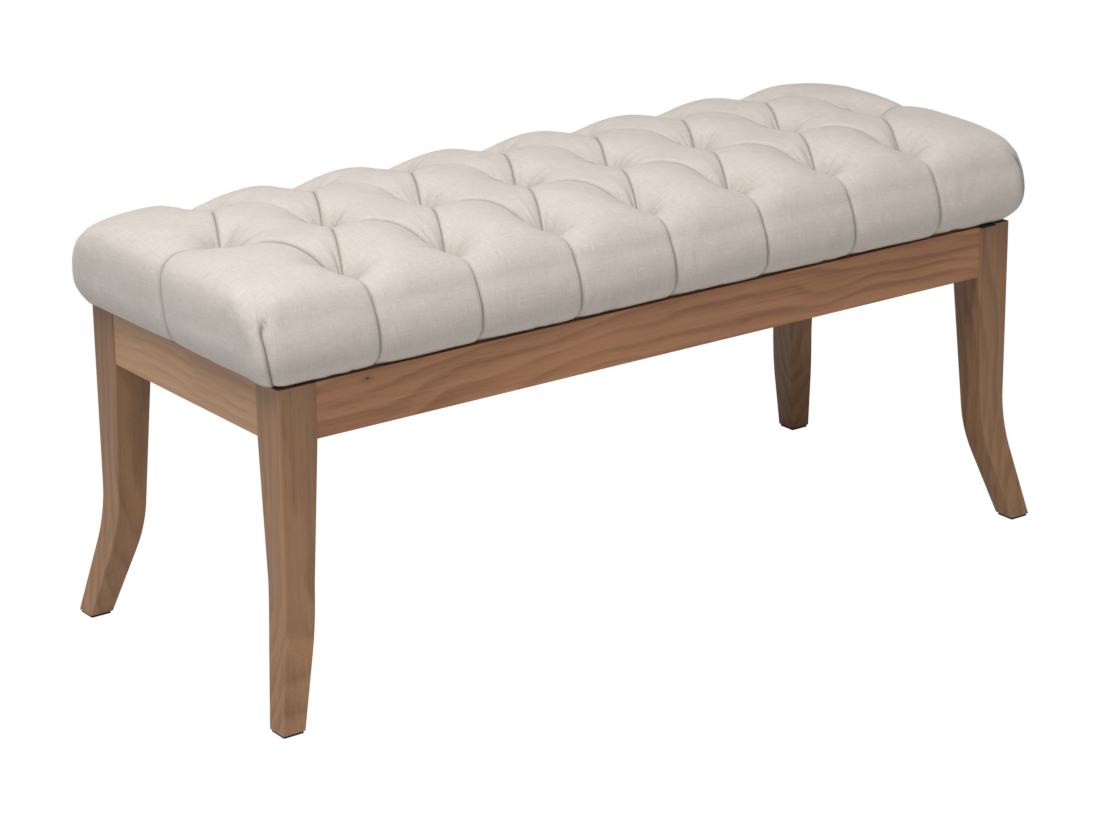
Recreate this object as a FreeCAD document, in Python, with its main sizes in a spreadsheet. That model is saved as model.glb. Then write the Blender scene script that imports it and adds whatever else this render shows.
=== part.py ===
"""Tufted upholstered bench on four sabre legs.

Frame: the origin is on the floor under the middle of the bench. X runs along its length, Y from front to back
and Z up, in millimetres. Everything at a leg is drawn once in a corner frame, whose origin is the leg's outer
corner on the floor with X and Y running inwards, and is then placed at the four corners.
"""

import FreeCAD, Part
import math
import os

import Sketcher

Vector = FreeCAD.Vector
Rotation = FreeCAD.Rotation
Placement = FreeCAD.Placement

doc = FreeCAD.newDocument("bench")

# Driving sizes in millimetres
SIZES = {
    # how far a cutting tool runs past a face, and the gap left between pieces that only touch
    "overrun": 1,
    "touch_gap": 0.1,
    # wooden frame
    "frame_length": 1000,
    "frame_depth": 384,
    "frame_height": 366,
    "rail_height": 61,
    "rail_thickness": 20,
    "rail_setback": 1,
    "arris": 1.6,
    # legs
    "leg_width": 45,
    "leg_flat": 17,
    "foot_width": 27.5,
    "foot_splay": 25,
    "outer_knee_height": 121,
    "outer_knee_radius": 360,
    "inner_knee_height": 107,
    "inner_knee_depth": 33,
    "inner_knee_radius": 260,
    "pad_thickness": 3,
    "pad_margin": 1.5,
    # joints in the frame
    "dowel_diameter": 8,
    "dowel_length": 36,
    "dowel_spacing": 28,
    "dowel_clearance": 0.1,
    "block_thickness": 28,
    "block_height": 46,
    "bolt_diameter": 8,
    "bolt_grip": 34,
    "bolt_stand_out": 5,
    "bolt_clearance": 0.5,
    "washer_diameter": 20,
    "washer_thickness": 1.6,
    "nut_across_flats": 13,
    "nut_height": 6.5,
    "screw_diameter": 4,
    "screw_head_diameter": 8,
    "screw_head_height": 2.4,
    "screw_tip_diameter": 0.5,
    "screw_clearance": 0.1,
    "pocket_clearance": 1,
    "block_screw_length": 22,
    "block_screw_web": 10,
    "block_screw_drop": 10,
    "seat_screw_length": 43,
    "seat_screw_web": 30,
    "seat_screw_offset": 12,
    "cross_rail_height": 40,
    "cross_rail_thickness": 22,
    "cross_dowel_length": 28,
    "cross_dowel_depth": 10,
    "cross_dowel_spacing": 16,
    "cross_screw_spacing": 170,
    # seat
    "seat_gap": 1.6,
    "cover_thickness": 2,
    "flange_width": 30,
    "board_thickness": 12,
    "board_end_margin": 7,
    "board_side_margin": 14,
    "board_corner_radius": 14,
    "tuft_pitch": 127.4,
    "tuft_row_spacing": 137,
    "tuft_columns": 8,
    "tuft_depth": 42,
    "tuft_pit_radius": 3.5,
    "tuft_pit_depth": 1.5,
    "crown_height": 113.4,
    "side_crown_height": 108.5,
    "fold_rise": 35,
    "end_bulge": 23,
    "side_bulge": 13,
    "shoulder_from_end": 38,
    "shoulder_past_tufts": 10,
    "shoulder_fold_depth": 17,
    "twine_diameter": 1.6,
    "twine_clearance": 0.1,
    "knot_diameter": 4.8,
    "under_knot_diameter": 7,
    "under_knot_thickness": 2,
    "board_hole_diameter": 3,
    # fastening of the cloth
    "staple_width": 10,
    "staple_wire": 0.8,
    "staple_flat": 1.2,
    "staple_leg": 7,
    "staple_clearance": 0.05,
    "cover_staple_margin": 12,
    "cover_staple_spacing": 52,
    "cover_staple_corner": 12,
    "dust_cloth_thickness": 0.6,
    "dust_cloth_margin": 4,
    "dust_staple_margin": 23,
    "dust_staple_spacing": 92,
    "dust_staple_corner": 90,
    "tag_width": 22,
    "tag_depth": 16,
    "tag_stand_out": 6,
    "tag_thickness": 1.2,
    "tag_from_end": 26,
}

sheet = doc.addObject("Spreadsheet::Sheet", "Sizes")
for row, (name, number) in enumerate(SIZES.items(), start=1):
    sheet.set(f"A{row}", name)
    sheet.set(f"B{row}", str(number))
    sheet.setAlias(f"B{row}", name)
doc.recompute()


def size(name):
    """The sheet's value of a driving size."""
    return float(sheet.get(name))


def formula(text):
    """An expression with each driving size's name led to its cell."""
    for name in sorted(SIZES, key=len, reverse=True):
        text = text.replace(f"<{name}>", f"Sizes.{name}")
    return text


def bind(item, **properties):
    """Binds properties to formulas. A double underscore in a name stands for a dot."""
    for name, text in properties.items():
        item.setExpression(name.replace("__", "."), formula(str(text)))


ALONG_X = Rotation(Vector(0, 1, 0), 90)
ALONG_Y = Rotation(Vector(1, 0, 0), -90)
ALONG_Z = Rotation()
# along the corner frame's diagonal, away from the leg
ALONG_DIAGONAL = Rotation(Vector(0, 0, 1), 45).multiply(ALONG_X)


def put(item, at, turn=ALONG_Z):
    """Places an item: a fixed turn, and a place bound to three formulas."""
    item.Placement = Placement(Vector(), turn)
    bind(item, Placement__Base__x=at[0], Placement__Base__y=at[1], Placement__Base__z=at[2])
    return item


def add(kind, name, at=(0, 0, 0), turn=ALONG_Z, **sizes):
    """A primitive with its sizes and place bound to formulas."""
    item = doc.addObject(kind, name)
    bind(item, **sizes)
    return put(item, at, turn)


def cylinder(name, diameter, length, at=(0, 0, 0), turn=ALONG_Z):
    return add("Part::Cylinder", name, at, turn, Radius=f"({diameter})/2", Height=length)


def cone(name, start, end, length, at=(0, 0, 0), turn=ALONG_Z):
    return add("Part::Cone", name, at, turn, Radius1=f"({start})/2", Radius2=f"({end})/2", Height=length)


def box(name, length, width, height, at=(0, 0, 0), turn=ALONG_Z):
    return add("Part::Box", name, at, turn, Length=length, Width=width, Height=height)


def gather(name, items):
    compound = doc.addObject("Part::Compound", name)
    compound.Links = items
    return compound


def fuse(name, items):
    joined = doc.addObject("Part::MultiFuse", name)
    joined.Shapes = items
    return joined


def cut(name, base, tools):
    """A base with tools taken away."""
    result = doc.addObject("Part::Cut", name)
    result.Base = base
    result.Tool = gather(name + "_tools", tools)
    return result


def feature(name, shape):
    item = doc.addObject("Part::Feature", name)
    item.Shape = shape
    return item


def body_with_sketch(name, plane):
    """A body and a sketch on one of its own origin planes."""
    body = doc.addObject("PartDesign::Body", name)
    sketch = body.newObject("Sketcher::SketchObject", name + "_sketch")
    origin_plane = next(item for item in body.Origin.OriginFeatures if item.Role == plane)
    sketch.AttachmentSupport = [(origin_plane, "")]
    sketch.MapMode = "FlatFace"
    return body, sketch


def fix_point(sketch, line, end, label, x, y):
    """Holds a sketch point at two formulas measured from the sketch's origin."""
    for way, text in (("DistanceX", x), ("DistanceY", y)):
        here = sketch.getPoint(line, end)
        rough = here.x if way == "DistanceX" else here.y
        number = sketch.addConstraint(Sketcher.Constraint(way, -1, 1, line, end, rough))
        sketch.renameConstraint(number, f"{label}_{way}")
        sketch.setExpression(f"Constraints.{label}_{way}", formula(str(text)))


def polygon(sketch, points):
    """A closed outline of straight lines through points given as pairs of formulas."""
    count = len(points)
    rough = [Vector(10 * math.cos(turn), 10 * math.sin(turn), 0)
             for turn in (2 * math.pi * number / count for number in range(count))]
    for number in range(count):
        sketch.addGeometry(Part.LineSegment(rough[number], rough[(number + 1) % count]))
    for number in range(count):
        sketch.addConstraint(Sketcher.Constraint("Coincident", number, 2, (number + 1) % count, 1))
    for number, (x, y) in enumerate(points):
        fix_point(sketch, number, 1, f"corner{number}", x, y)


def pad(body, sketch, length, both_ways=False):
    """Raises a sketch into a solid."""
    solid = body.newObject("PartDesign::Pad", body.Name + "_pad")
    solid.Profile = sketch
    if both_ways:
        solid.SideType = "Symmetric"
    bind(solid, Length=length)
    sketch.Visibility = False
    doc.recompute()
    return solid


def round_edges(body, base, radius, chosen):
    """Rounds the edges of a body's feature that pass a test."""
    names = [f"Edge{number}" for number, edge in enumerate(base.Shape.Edges, start=1) if chosen(edge)]
    fillet = body.newObject("PartDesign::Fillet", body.Name + "_arris")
    fillet.Base = (base, names)
    bind(fillet, Radius=radius)
    doc.recompute()
    return fillet


def bore(body, name, diameter, depth, at, turn):
    """A round hole taken out of a body."""
    hole = body.newObject("PartDesign::SubtractiveCylinder", name)
    bind(hole, Radius=f"({diameter})/2", Height=depth)
    put(hole, at, turn)
    doc.recompute()
    return hole


# Heights and places shared by the pieces
FRAME_TOP = "<frame_height>"
RAIL_BOTTOM = "(<frame_height> - <rail_height>)"
RAIL_MIDDLE = "(<frame_height> - <rail_height>/2)"
RAIL_INSIDE = "(<rail_setback> + <rail_thickness>)"
RAIL_CENTRE = "(<rail_setback> + <rail_thickness>/2)"
DOWEL_HOLE = "(<dowel_diameter> + 2*<dowel_clearance>)"
DOWEL_HEIGHTS = [f"({RAIL_MIDDLE} - <dowel_spacing>/2)", f"({RAIL_MIDDLE} + <dowel_spacing>/2)"]
HALF_DOWEL = "(<dowel_length>/2)"
SCREW_HOLE = "(<screw_diameter> + 2*<screw_clearance>)"
HEAD_HOLE = "(<screw_head_diameter> + 2*<pocket_clearance>)"
COVER_BOTTOM = "(<frame_height> + <seat_gap>)"
BOARD_BOTTOM = f"({COVER_BOTTOM} + <cover_thickness>)"
BOARD_HALF_LENGTH = "(<frame_length>/2 - <board_end_margin>)"
BOARD_HALF_DEPTH = "(<frame_depth>/2 - <board_side_margin>)"
# the leg's inner corner is cut flat; these are x + y on that flat and on the far face of the corner block
LEG_FLAT_SUM = "(2*<leg_width> - <leg_flat>)"
BLOCK_FACE_SUM = f"({LEG_FLAT_SUM} + <block_thickness>*sqrt(2))"


def number_of(text):
    """The value of a formula that uses only driving sizes."""
    for name in sorted(SIZES, key=len, reverse=True):
        text = text.replace(f"<{name}>", repr(size(name)))
    probe = doc.addObject("App::FeaturePython", "probe")
    probe.addProperty("App::PropertyFloat", "Value")
    probe.setExpression("Value", text)
    doc.recompute()
    result = float(probe.Value)
    doc.removeObject(probe.Name)
    return result


def corner_placement(which):
    """Where the corner frame lies for corner 0, 1, 2 or 3, counted from the front left one."""
    half_length, half_depth = size("frame_length") / 2, size("frame_depth") / 2
    ends = [(-1, -1), (1, -1), (1, 1), (-1, 1)][which]
    place = Vector(ends[0] * half_length, ends[1] * half_depth, 0)
    return Placement(place, Rotation(Vector(0, 0, 1), 90 * which))


CORNERS = ["front_left", "front_right", "back_right", "back_left"]
CORNER_SIGNS = [("-", "-"), ("", "-"), ("", ""), ("-", "")]


def put_at_corner(item, which):
    """Places a piece drawn in the corner frame at one of the four corners."""
    x_sign, y_sign = CORNER_SIGNS[which]
    put(item, (f"{x_sign}<frame_length>/2", f"{y_sign}<frame_depth>/2", 0), Rotation(Vector(0, 0, 1), 90 * which))


nodes = []


def node(item, label):
    """Marks a finished piece as a node of the bench."""
    item.Label = label
    nodes.append(item)
    return item


def copies_at_corners(label, template):
    """One node that holds a copy of the template at each corner."""
    shapes = []
    for which in range(4):
        shape = template.Shape.copy()
        shape.Placement = corner_placement(which).multiply(shape.Placement)
        shapes.append(shape)
    return node(feature(label, Part.makeCompound(shapes)), label)


# Legs
def leg_profile(name, turn):
    """The sabre outline of a leg: a straight upper part, a bend, and a foot that splays outwards."""
    sketch = doc.addObject("Sketcher::SketchObject", name)
    sketch.Placement = Placement(Vector(), turn)
    top, base = size("frame_height"), size("pad_thickness")
    width, splay, foot = size("leg_width"), size("foot_splay"), size("foot_width")
    knee, bend = size("outer_knee_height"), size("outer_knee_radius")
    inner_knee, inner_bend = size("inner_knee_height"), size("inner_knee_radius")
    inner_depth, rail_bottom = size("inner_knee_depth"), size("frame_height") - size("rail_height")

    def bend_arc(corner, above, below, radius):
        """The arc that rounds a knee, with the two points where it meets the straight lines."""
        up, down = (above - corner).normalize(), (below - corner).normalize()
        half = up.getAngle(down) / 2
        reach = radius / math.tan(half)
        centre = corner + (up + down).normalize() * (radius / math.sin(half))
        start, end = corner + down * reach, corner + up * reach
        angles = [math.atan2(point.y - centre.y, point.x - centre.x) for point in (start, end)]
        circle = Part.Circle(centre, Vector(0, 0, 1), radius)
        return Part.ArcOfCircle(circle, angles[0], angles[1]), start, end

    head, outer_knee, toe = Vector(0, top, 0), Vector(0, knee, 0), Vector(-splay, base, 0)
    heel, inner_corner = Vector(foot - splay, base, 0), Vector(inner_depth, inner_knee, 0)
    shoulder, inner_head = Vector(width, rail_bottom, 0), Vector(width, top, 0)
    outer_arc, outer_low, outer_high = bend_arc(outer_knee, head, toe, bend)
    inner_arc, inner_low, inner_high = bend_arc(inner_corner, shoulder, heel, inner_bend)
    for piece in (Part.LineSegment(head, outer_high), outer_arc, Part.LineSegment(outer_low, toe),
                  Part.LineSegment(toe, heel), Part.LineSegment(heel, inner_low), inner_arc,
                  Part.LineSegment(inner_high, shoulder), Part.LineSegment(shoulder, inner_head),
                  Part.LineSegment(inner_head, head)):
        sketch.addGeometry(piece)
    for construction_point in (outer_knee, inner_corner):
        sketch.addGeometry(Part.Point(construction_point), True)
    rule = Sketcher.Constraint
    for constraint in (rule("Tangent", 0, 2, 1, 2), rule("Tangent", 1, 1, 2, 1), rule("Coincident", 2, 2, 3, 1),
                       rule("Coincident", 3, 2, 4, 1), rule("Tangent", 4, 2, 5, 1), rule("Tangent", 5, 2, 6, 1),
                       rule("Coincident", 6, 2, 7, 1), rule("Coincident", 7, 2, 8, 1),
                       rule("Coincident", 8, 2, 0, 1), rule("PointOnObject", 9, 1, 0),
                       rule("PointOnObject", 9, 1, 2), rule("PointOnObject", 10, 1, 4),
                       rule("PointOnObject", 10, 1, 6)):
        sketch.addConstraint(constraint)
    fix_point(sketch, 0, 1, "head", "0", "<frame_height>")
    fix_point(sketch, 9, 1, "outer_knee", "0", "<outer_knee_height>")
    fix_point(sketch, 2, 2, "toe", "-<foot_splay>", "<pad_thickness>")
    fix_point(sketch, 3, 2, "heel", "<foot_width> - <foot_splay>", "<pad_thickness>")
    fix_point(sketch, 10, 1, "inner_knee", "<inner_knee_depth>", "<inner_knee_height>")
    fix_point(sketch, 6, 2, "shoulder", "<leg_width>", RAIL_BOTTOM)
    fix_point(sketch, 7, 2, "inner_head", "<leg_width>", FRAME_TOP)
    for arc, label in ((1, "outer_bend"), (5, "inner_bend")):
        number = sketch.addConstraint(rule("Radius", arc, bend if arc == 1 else inner_bend))
        sketch.renameConstraint(number, label)
    bind(sketch, Constraints__outer_bend="<outer_knee_radius>", Constraints__inner_bend="<inner_knee_radius>")
    sketch.Visibility = False
    return sketch


def sawn_blank(name, sketch, direction):
    """The leg's outline taken right through the square blank along X or Y."""
    blank = doc.addObject("Part::Extrusion", name)
    blank.Base = sketch
    blank.DirMode = "Custom"
    blank.Dir = direction
    blank.Solid = True
    bind(blank, LengthFwd="<leg_width> + <overrun>", LengthRev="<foot_splay> + <overrun>")
    return blank


def on_three_arrises(edge):
    """Whether an edge runs up one of a leg's arrises, the innermost one left out."""
    middle = edge.CenterOfMass
    innermost = abs(middle.x - middle.y) < 0.01 and middle.x > 0.01
    return edge.BoundBox.ZLength > size("arris") and not innermost


def leg(which):
    """A leg sawn to the same outline on two faces, eased, cut flat at the inner corner and drilled."""
    label = "leg_" + CORNERS[which]
    from_front = leg_profile(label + "_front_outline", Rotation(Vector(1, 0, 0), 90))
    from_side = leg_profile(label + "_side_outline", Rotation(Vector(1, 1, 1), 120))
    sawn = doc.addObject("Part::Common", label + "_sawn")
    sawn.Base = sawn_blank(label + "_front", from_front, Vector(0, 1, 0))
    sawn.Tool = sawn_blank(label + "_side", from_side, Vector(1, 0, 0))
    doc.recompute()
    eased = doc.addObject("Part::Fillet", label + "_eased")
    eased.Base = sawn
    eased.Edges = [(number, size("arris"), size("arris"))
                   for number, edge in enumerate(sawn.Shape.Edges, start=1) if on_three_arrises(edge)]
    flat = box(label + "_flat", "2*<leg_width>", "2*<leg_width>", "<rail_height> + <overrun>",
               (f"({LEG_FLAT_SUM} - <leg_width>*sqrt(2))/2", f"({LEG_FLAT_SUM} + <leg_width>*sqrt(2))/2",
                RAIL_BOTTOM),
               Rotation(Vector(0, 0, 1), -45))
    tools = [flat]
    for height_number, height in enumerate(DOWEL_HEIGHTS):
        start = f"<leg_width> - {HALF_DOWEL} - <dowel_clearance>"
        length = f"{HALF_DOWEL} + <dowel_clearance> + <overrun>"
        tools.append(cylinder(f"{label}_hole_x{height_number}", DOWEL_HOLE, length,
                              (start, RAIL_CENTRE, height), ALONG_X))
        tools.append(cylinder(f"{label}_hole_y{height_number}", DOWEL_HOLE, length,
                              (RAIL_CENTRE, start, height), ALONG_Y))
    bolt_start = f"({LEG_FLAT_SUM}/2 - <bolt_grip>/sqrt(2))"
    tools.append(cylinder(label + "_bolt_hole", "<bolt_diameter>", "<bolt_grip> + <overrun>",
                          (bolt_start, bolt_start, RAIL_MIDDLE), ALONG_DIAGONAL))
    finished = cut(label, eased, tools)
    put_at_corner(finished, which)
    node(finished, label)


def foot_pad(which):
    """The thin black pad under a foot."""
    label = "foot_pad_" + CORNERS[which]
    body, sketch = body_with_sketch(label, "XY_Plane")
    low = "(<pad_margin> - <foot_splay>)"
    high = "(<foot_width> - <foot_splay> - <pad_margin>)"
    polygon(sketch, [(low, low), (high, low), (high, high), (low, high)])
    solid = pad(body, sketch, "<pad_thickness>")
    round_edges(body, solid, "<pad_margin>", lambda edge: edge.BoundBox.ZLength > 0.1)
    put_at_corner(body, which)
    node(body, label)


# Rails between the legs
def rail(label, length, at, turn, dowel_holes_inside):
    """A rail: its outer face is at Y 0, and dowel holes run into both ends."""
    body, sketch = body_with_sketch(label, "YZ_Plane")
    polygon(sketch, [(0, 0), ("<rail_thickness>", 0), ("<rail_thickness>", "<rail_height>"),
                     (0, "<rail_height>")])
    solid = pad(body, sketch, length, both_ways=True)
    lower_front = lambda edge: edge.BoundBox.XLength > 1 and edge.BoundBox.ZMax < 0.1
    round_edges(body, solid, "<arris>", lower_front)
    depth = f"{HALF_DOWEL} + <dowel_clearance>"
    for number, height in enumerate(DOWEL_HEIGHTS):
        level = f"{height} - {RAIL_BOTTOM}"
        for side, start in (("left", f"-({length})/2"), ("right", f"({length})/2 - {depth}")):
            bore(body, f"{label}_{side}_hole{number}", DOWEL_HOLE, depth,
                 (start, "<rail_thickness>/2", level), ALONG_X)
    screw_depth = "(<block_screw_length> - <block_screw_web> + <screw_clearance>)"
    for side, sign in (("left", "-"), ("right", "")):
        bore(body, f"{label}_{side}_screw_hole", SCREW_HOLE, screw_depth,
             (f"{sign}({length}/2 - {SCREW_FROM_CORNER} + <leg_width>)", f"<rail_thickness> - {screw_depth}",
              f"{BLOCK_SCREW_LEVEL} - {RAIL_BOTTOM}"), ALONG_Y)
    if dowel_holes_inside:
        for number, height in enumerate(CROSS_DOWEL_LEVELS):
            bore(body, f"{label}_cross_hole{number}", DOWEL_HOLE, "<cross_dowel_depth>",
                 (0, "<rail_thickness> - <cross_dowel_depth>", f"{height} - {RAIL_BOTTOM}"), ALONG_Y)
    put(body, at, turn)
    node(body, label)


CROSS_DOWEL_LEVELS = [f"({FRAME_TOP} - <cross_rail_height>/2 {sign} <cross_dowel_spacing>/2)" for sign in "+-"]
CROSS_RAIL_LENGTH = f"(<frame_depth> - 2*{RAIL_INSIDE})"
LONG_RAIL = "(<frame_length> - 2*<leg_width>)"
SHORT_RAIL = "(<frame_depth> - 2*<leg_width>)"
SCREW_FROM_CORNER = f"(({LEG_FLAT_SUM} + {BLOCK_FACE_SUM})/2 - {RAIL_INSIDE})"
BLOCK_SCREW_LEVEL = "(<frame_height> - <block_height>/2 - <block_screw_drop>)"
BLOCK_SCREW_SEAT = f"({RAIL_INSIDE} + <block_screw_web>)"
# the screw that holds the seat stands beside the bolt, this far off the corner's diagonal
SEAT_SCREW_X = f"(({LEG_FLAT_SUM} + {BLOCK_FACE_SUM})/4 + <seat_screw_offset>)"
SEAT_SCREW_Y = f"(({LEG_FLAT_SUM} + {BLOCK_FACE_SUM})/4 - <seat_screw_offset>)"
SEAT_SCREW_HEAD = "(<frame_height> - <seat_screw_web>)"


def corner_block(which):
    """The block across a corner, with holes for the bolt, the two pocketed screws and the seat's screw."""
    label = "corner_block_" + CORNERS[which]
    body, sketch = body_with_sketch(label, "XY_Plane")
    near, far = f"({LEG_FLAT_SUM} - {RAIL_INSIDE})", f"({BLOCK_FACE_SUM} - {RAIL_INSIDE})"
    polygon(sketch, [(near, RAIL_INSIDE), (far, RAIL_INSIDE), (RAIL_INSIDE, far), (RAIL_INSIDE, near)])
    pad(body, sketch, "<block_height>")
    drop = "(<frame_height> - <block_height>)"
    start = f"{LEG_FLAT_SUM}/2 - <overrun>"
    bore(body, label + "_bolt_hole", "<bolt_diameter> + 2*<bolt_clearance>", "<block_thickness> + 3*<overrun>",
         (start, start, f"{RAIL_MIDDLE} - {drop}"), ALONG_DIAGONAL)
    level = f"{BLOCK_SCREW_LEVEL} - {drop}"
    for way, turn in (("x", ALONG_X), ("y", ALONG_Y)):
        for hole, diameter, depth, near_rail in (
                ("screw", SCREW_HOLE, "<block_screw_web> + 2*<overrun>", f"{RAIL_INSIDE} - <overrun>"),
                ("pocket", HEAD_HOLE, "<block_thickness>", BLOCK_SCREW_SEAT)):
            spot = (near_rail, SCREW_FROM_CORNER) if way == "x" else (SCREW_FROM_CORNER, near_rail)
            bore(body, f"{label}_{hole}_{way}", diameter, depth, (*spot, level), turn)
    bore(body, label + "_seat_screw", SCREW_HOLE, "<block_height> + 2*<overrun>",
         (SEAT_SCREW_X, SEAT_SCREW_Y, "-<overrun>"), ALONG_Z)
    bore(body, label + "_seat_pocket", HEAD_HOLE, f"{SEAT_SCREW_HEAD} - {drop} + <overrun>",
         (SEAT_SCREW_X, SEAT_SCREW_Y, "-<overrun>"), ALONG_Z)
    x_sign, y_sign = CORNER_SIGNS[which]
    put(body, (f"{x_sign}<frame_length>/2", f"{y_sign}<frame_depth>/2", drop),
        Rotation(Vector(0, 0, 1), 90 * which))
    node(body, label)


def wood_screw(name, length):
    """A pan-head wood screw that points along Z, with the head's underside at Z 0."""
    head = cylinder(name + "_head", "<screw_head_diameter>", "<screw_head_height>",
                    (0, 0, "-<screw_head_height>"))
    shank = cylinder(name + "_shank", "<screw_diameter>", f"{length} - <screw_diameter>")
    point = cone(name + "_point", "<screw_diameter>", "<screw_tip_diameter>", "<screw_diameter>",
                 (0, 0, f"{length} - <screw_diameter>"))
    return fuse(name, [head, shank, point])


def placed(shape, place):
    """A copy of a shape moved to a place."""
    copy = shape.copy()
    copy.Placement = place.multiply(copy.Placement)
    return copy


def fasteners_in_frame():
    """The dowels, bolts, washers, nuts and screws of the four corners, and of the cross rail."""
    dowel = cylinder("dowel", "<dowel_diameter>", "<dowel_length>")
    bolt = cylinder("bolt", "<bolt_diameter>", "<bolt_grip> + <block_thickness> + <washer_thickness>"
                    " + <nut_height> + <bolt_stand_out> + 2*<touch_gap>")
    washer = cut("washer", cylinder("washer_disc", "<washer_diameter>", "<washer_thickness>"),
                 [cylinder("washer_hole", "<bolt_diameter> + 2*<bolt_clearance>",
                           "<washer_thickness> + 2*<overrun>", (0, 0, "-<overrun>"))])
    nut_blank = add("Part::Prism", "nut_blank", Circumradius="<nut_across_flats>/sqrt(3)", Height="<nut_height>")
    nut_blank.Polygon = 6
    nut = cut("nut", nut_blank, [cylinder("nut_hole", "<bolt_diameter> + 2*<screw_clearance>",
                                          "<nut_height> + 2*<overrun>", (0, 0, "-<overrun>"))])
    block_screw = wood_screw("block_screw", "<block_screw_length>")
    seat_screw = wood_screw("seat_screw", "<seat_screw_length>")
    cross_dowel = cylinder("cross_dowel", "<dowel_diameter>", "<cross_dowel_length>")
    doc.recompute()

    centre, levels = number_of(RAIL_CENTRE), [number_of(text) for text in DOWEL_HEIGHTS]
    inner_start = size("leg_width") - size("dowel_length") / 2
    dowels = []
    for level in levels:
        dowels.append(placed(dowel.Shape, Placement(Vector(inner_start, centre, level), ALONG_X)))
        dowels.append(placed(dowel.Shape, Placement(Vector(centre, inner_start, level), ALONG_Y)))
    copies_at_corners("rail_dowels", feature("corner_dowels", Part.makeCompound(dowels)))

    diagonal = Vector(1, 1, 0).normalize()
    middle = number_of(RAIL_MIDDLE)
    flat_centre = Vector(number_of(LEG_FLAT_SUM) / 2, number_of(LEG_FLAT_SUM) / 2, middle)
    block_face = flat_centre + diagonal * size("block_thickness")
    for label, template, start in (
            ("hanger_bolts", bolt, flat_centre - diagonal * size("bolt_grip")),
            ("bolt_washers", washer, block_face + diagonal * size("touch_gap")),
            ("bolt_nuts", nut, block_face + diagonal * (size("washer_thickness") + 2 * size("touch_gap")))):
        shape = placed(template.Shape, Placement(start, ALONG_DIAGONAL))
        copies_at_corners(label, feature("corner_" + label, shape))

    along, seat, level = (number_of(text) for text in (SCREW_FROM_CORNER, BLOCK_SCREW_SEAT, BLOCK_SCREW_LEVEL))
    towards_x, towards_y = ALONG_X.inverted(), ALONG_Y.inverted()
    pair = [placed(block_screw.Shape, Placement(Vector(along, seat, level), towards_y)),
            placed(block_screw.Shape, Placement(Vector(seat, along, level), towards_x))]
    copies_at_corners("block_screws", feature("corner_block_screws", Part.makeCompound(pair)))

    head = number_of(SEAT_SCREW_HEAD)
    shapes = [placed(placed(seat_screw.Shape, Placement(Vector(*spot, head), ALONG_Z)), corner_placement(which))
              for which in range(4) for spot in [(number_of(SEAT_SCREW_X), number_of(SEAT_SCREW_Y))]]
    shapes += [placed(seat_screw.Shape, Placement(Vector(0, side * size("cross_screw_spacing") / 2, head),
                                                  ALONG_Z)) for side in (-1, 1)]
    node(feature("seat_screws", Part.makeCompound(shapes)), "seat_screws")

    reach = number_of(CROSS_RAIL_LENGTH) / 2 + size("cross_dowel_depth")
    cross = []
    for level in (number_of(text) for text in CROSS_DOWEL_LEVELS):
        cross.append(placed(cross_dowel.Shape, Placement(Vector(0, reach - size("cross_dowel_length"), level),
                                                        ALONG_Y)))
        cross.append(placed(cross_dowel.Shape, Placement(Vector(0, -reach, level), ALONG_Y)))
    node(feature("cross_rail_dowels", Part.makeCompound(cross)), "cross_rail_dowels")


def cross_rail():
    """The rail under the middle of the seat, from the front rail to the back one."""
    body, sketch = body_with_sketch("cross_rail", "XZ_Plane")
    half, height = "<cross_rail_thickness>/2", "<cross_rail_height>"
    polygon(sketch, [(f"-{half}", 0), (half, 0), (half, height), (f"-{half}", height)])
    pad(body, sketch, CROSS_RAIL_LENGTH, both_ways=True)
    depth = "<cross_dowel_length> - <cross_dowel_depth> + <dowel_clearance>"
    drop = "(<frame_height> - <cross_rail_height>)"
    for number, level in enumerate(CROSS_DOWEL_LEVELS):
        for side, start in (("front", f"-{CROSS_RAIL_LENGTH}/2"), ("back", f"{CROSS_RAIL_LENGTH}/2 - ({depth})")):
            bore(body, f"cross_{side}_hole{number}", DOWEL_HOLE, depth, (0, start, f"{level} - {drop}"), ALONG_Y)
    for side, sign in (("front", "-"), ("back", "")):
        spot = f"{sign}<cross_screw_spacing>/2"
        bore(body, f"cross_{side}_screw", SCREW_HOLE, "<cross_rail_height> + 2*<overrun>",
             (0, spot, "-<overrun>"), ALONG_Z)
        bore(body, f"cross_{side}_pocket", HEAD_HOLE, f"{SEAT_SCREW_HEAD} - {drop} + <overrun>",
             (0, spot, "-<overrun>"), ALONG_Z)
    put(body, (0, 0, drop))
    node(body, "cross_rail")


# Seat: the places of the tufts
def tuft_places():
    """The 22 tufts: a middle row, and a row of one fewer on each side of it, half a pitch across."""
    columns, pitch, row_spacing = int(size("tuft_columns")), size("tuft_pitch"), size("tuft_row_spacing")
    places = [((number - (columns - 1) / 2) * pitch, 0.0) for number in range(columns)]
    for side in (-1, 1):
        places += [((number - (columns - 2) / 2) * pitch, side * row_spacing) for number in range(columns - 1)]
    return places


# Stations up the cushion's side: height above its underside, reach short of the widest line at the ends and at
# the long sides, corner radius and depth of the folds
SIDE_STATIONS = [
    (0, 18, 16, 20, 2.5),
    (9, 7.5, 6.5, 22, 4),
    (22, 2, 1.5, 24, 5.5),
    (40, 0, 0, 26, 7),
    (58, 0.5, 3, 28, 8),
    (74, 4, 10, 31, 8.5),
    (86, 12, 20, 37, 10),
    (95, 24, 32, 42, 12),
    (100, 38, 43, 45, 13),
]
# A fold between two tufts is bowed: shares of its way and of its rise at the points between straight stretches
FOLD_SHAPE = [(0, 0), (0.2, 0.75), (0.5, 1), (0.8, 0.75), (1, 0)]
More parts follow.
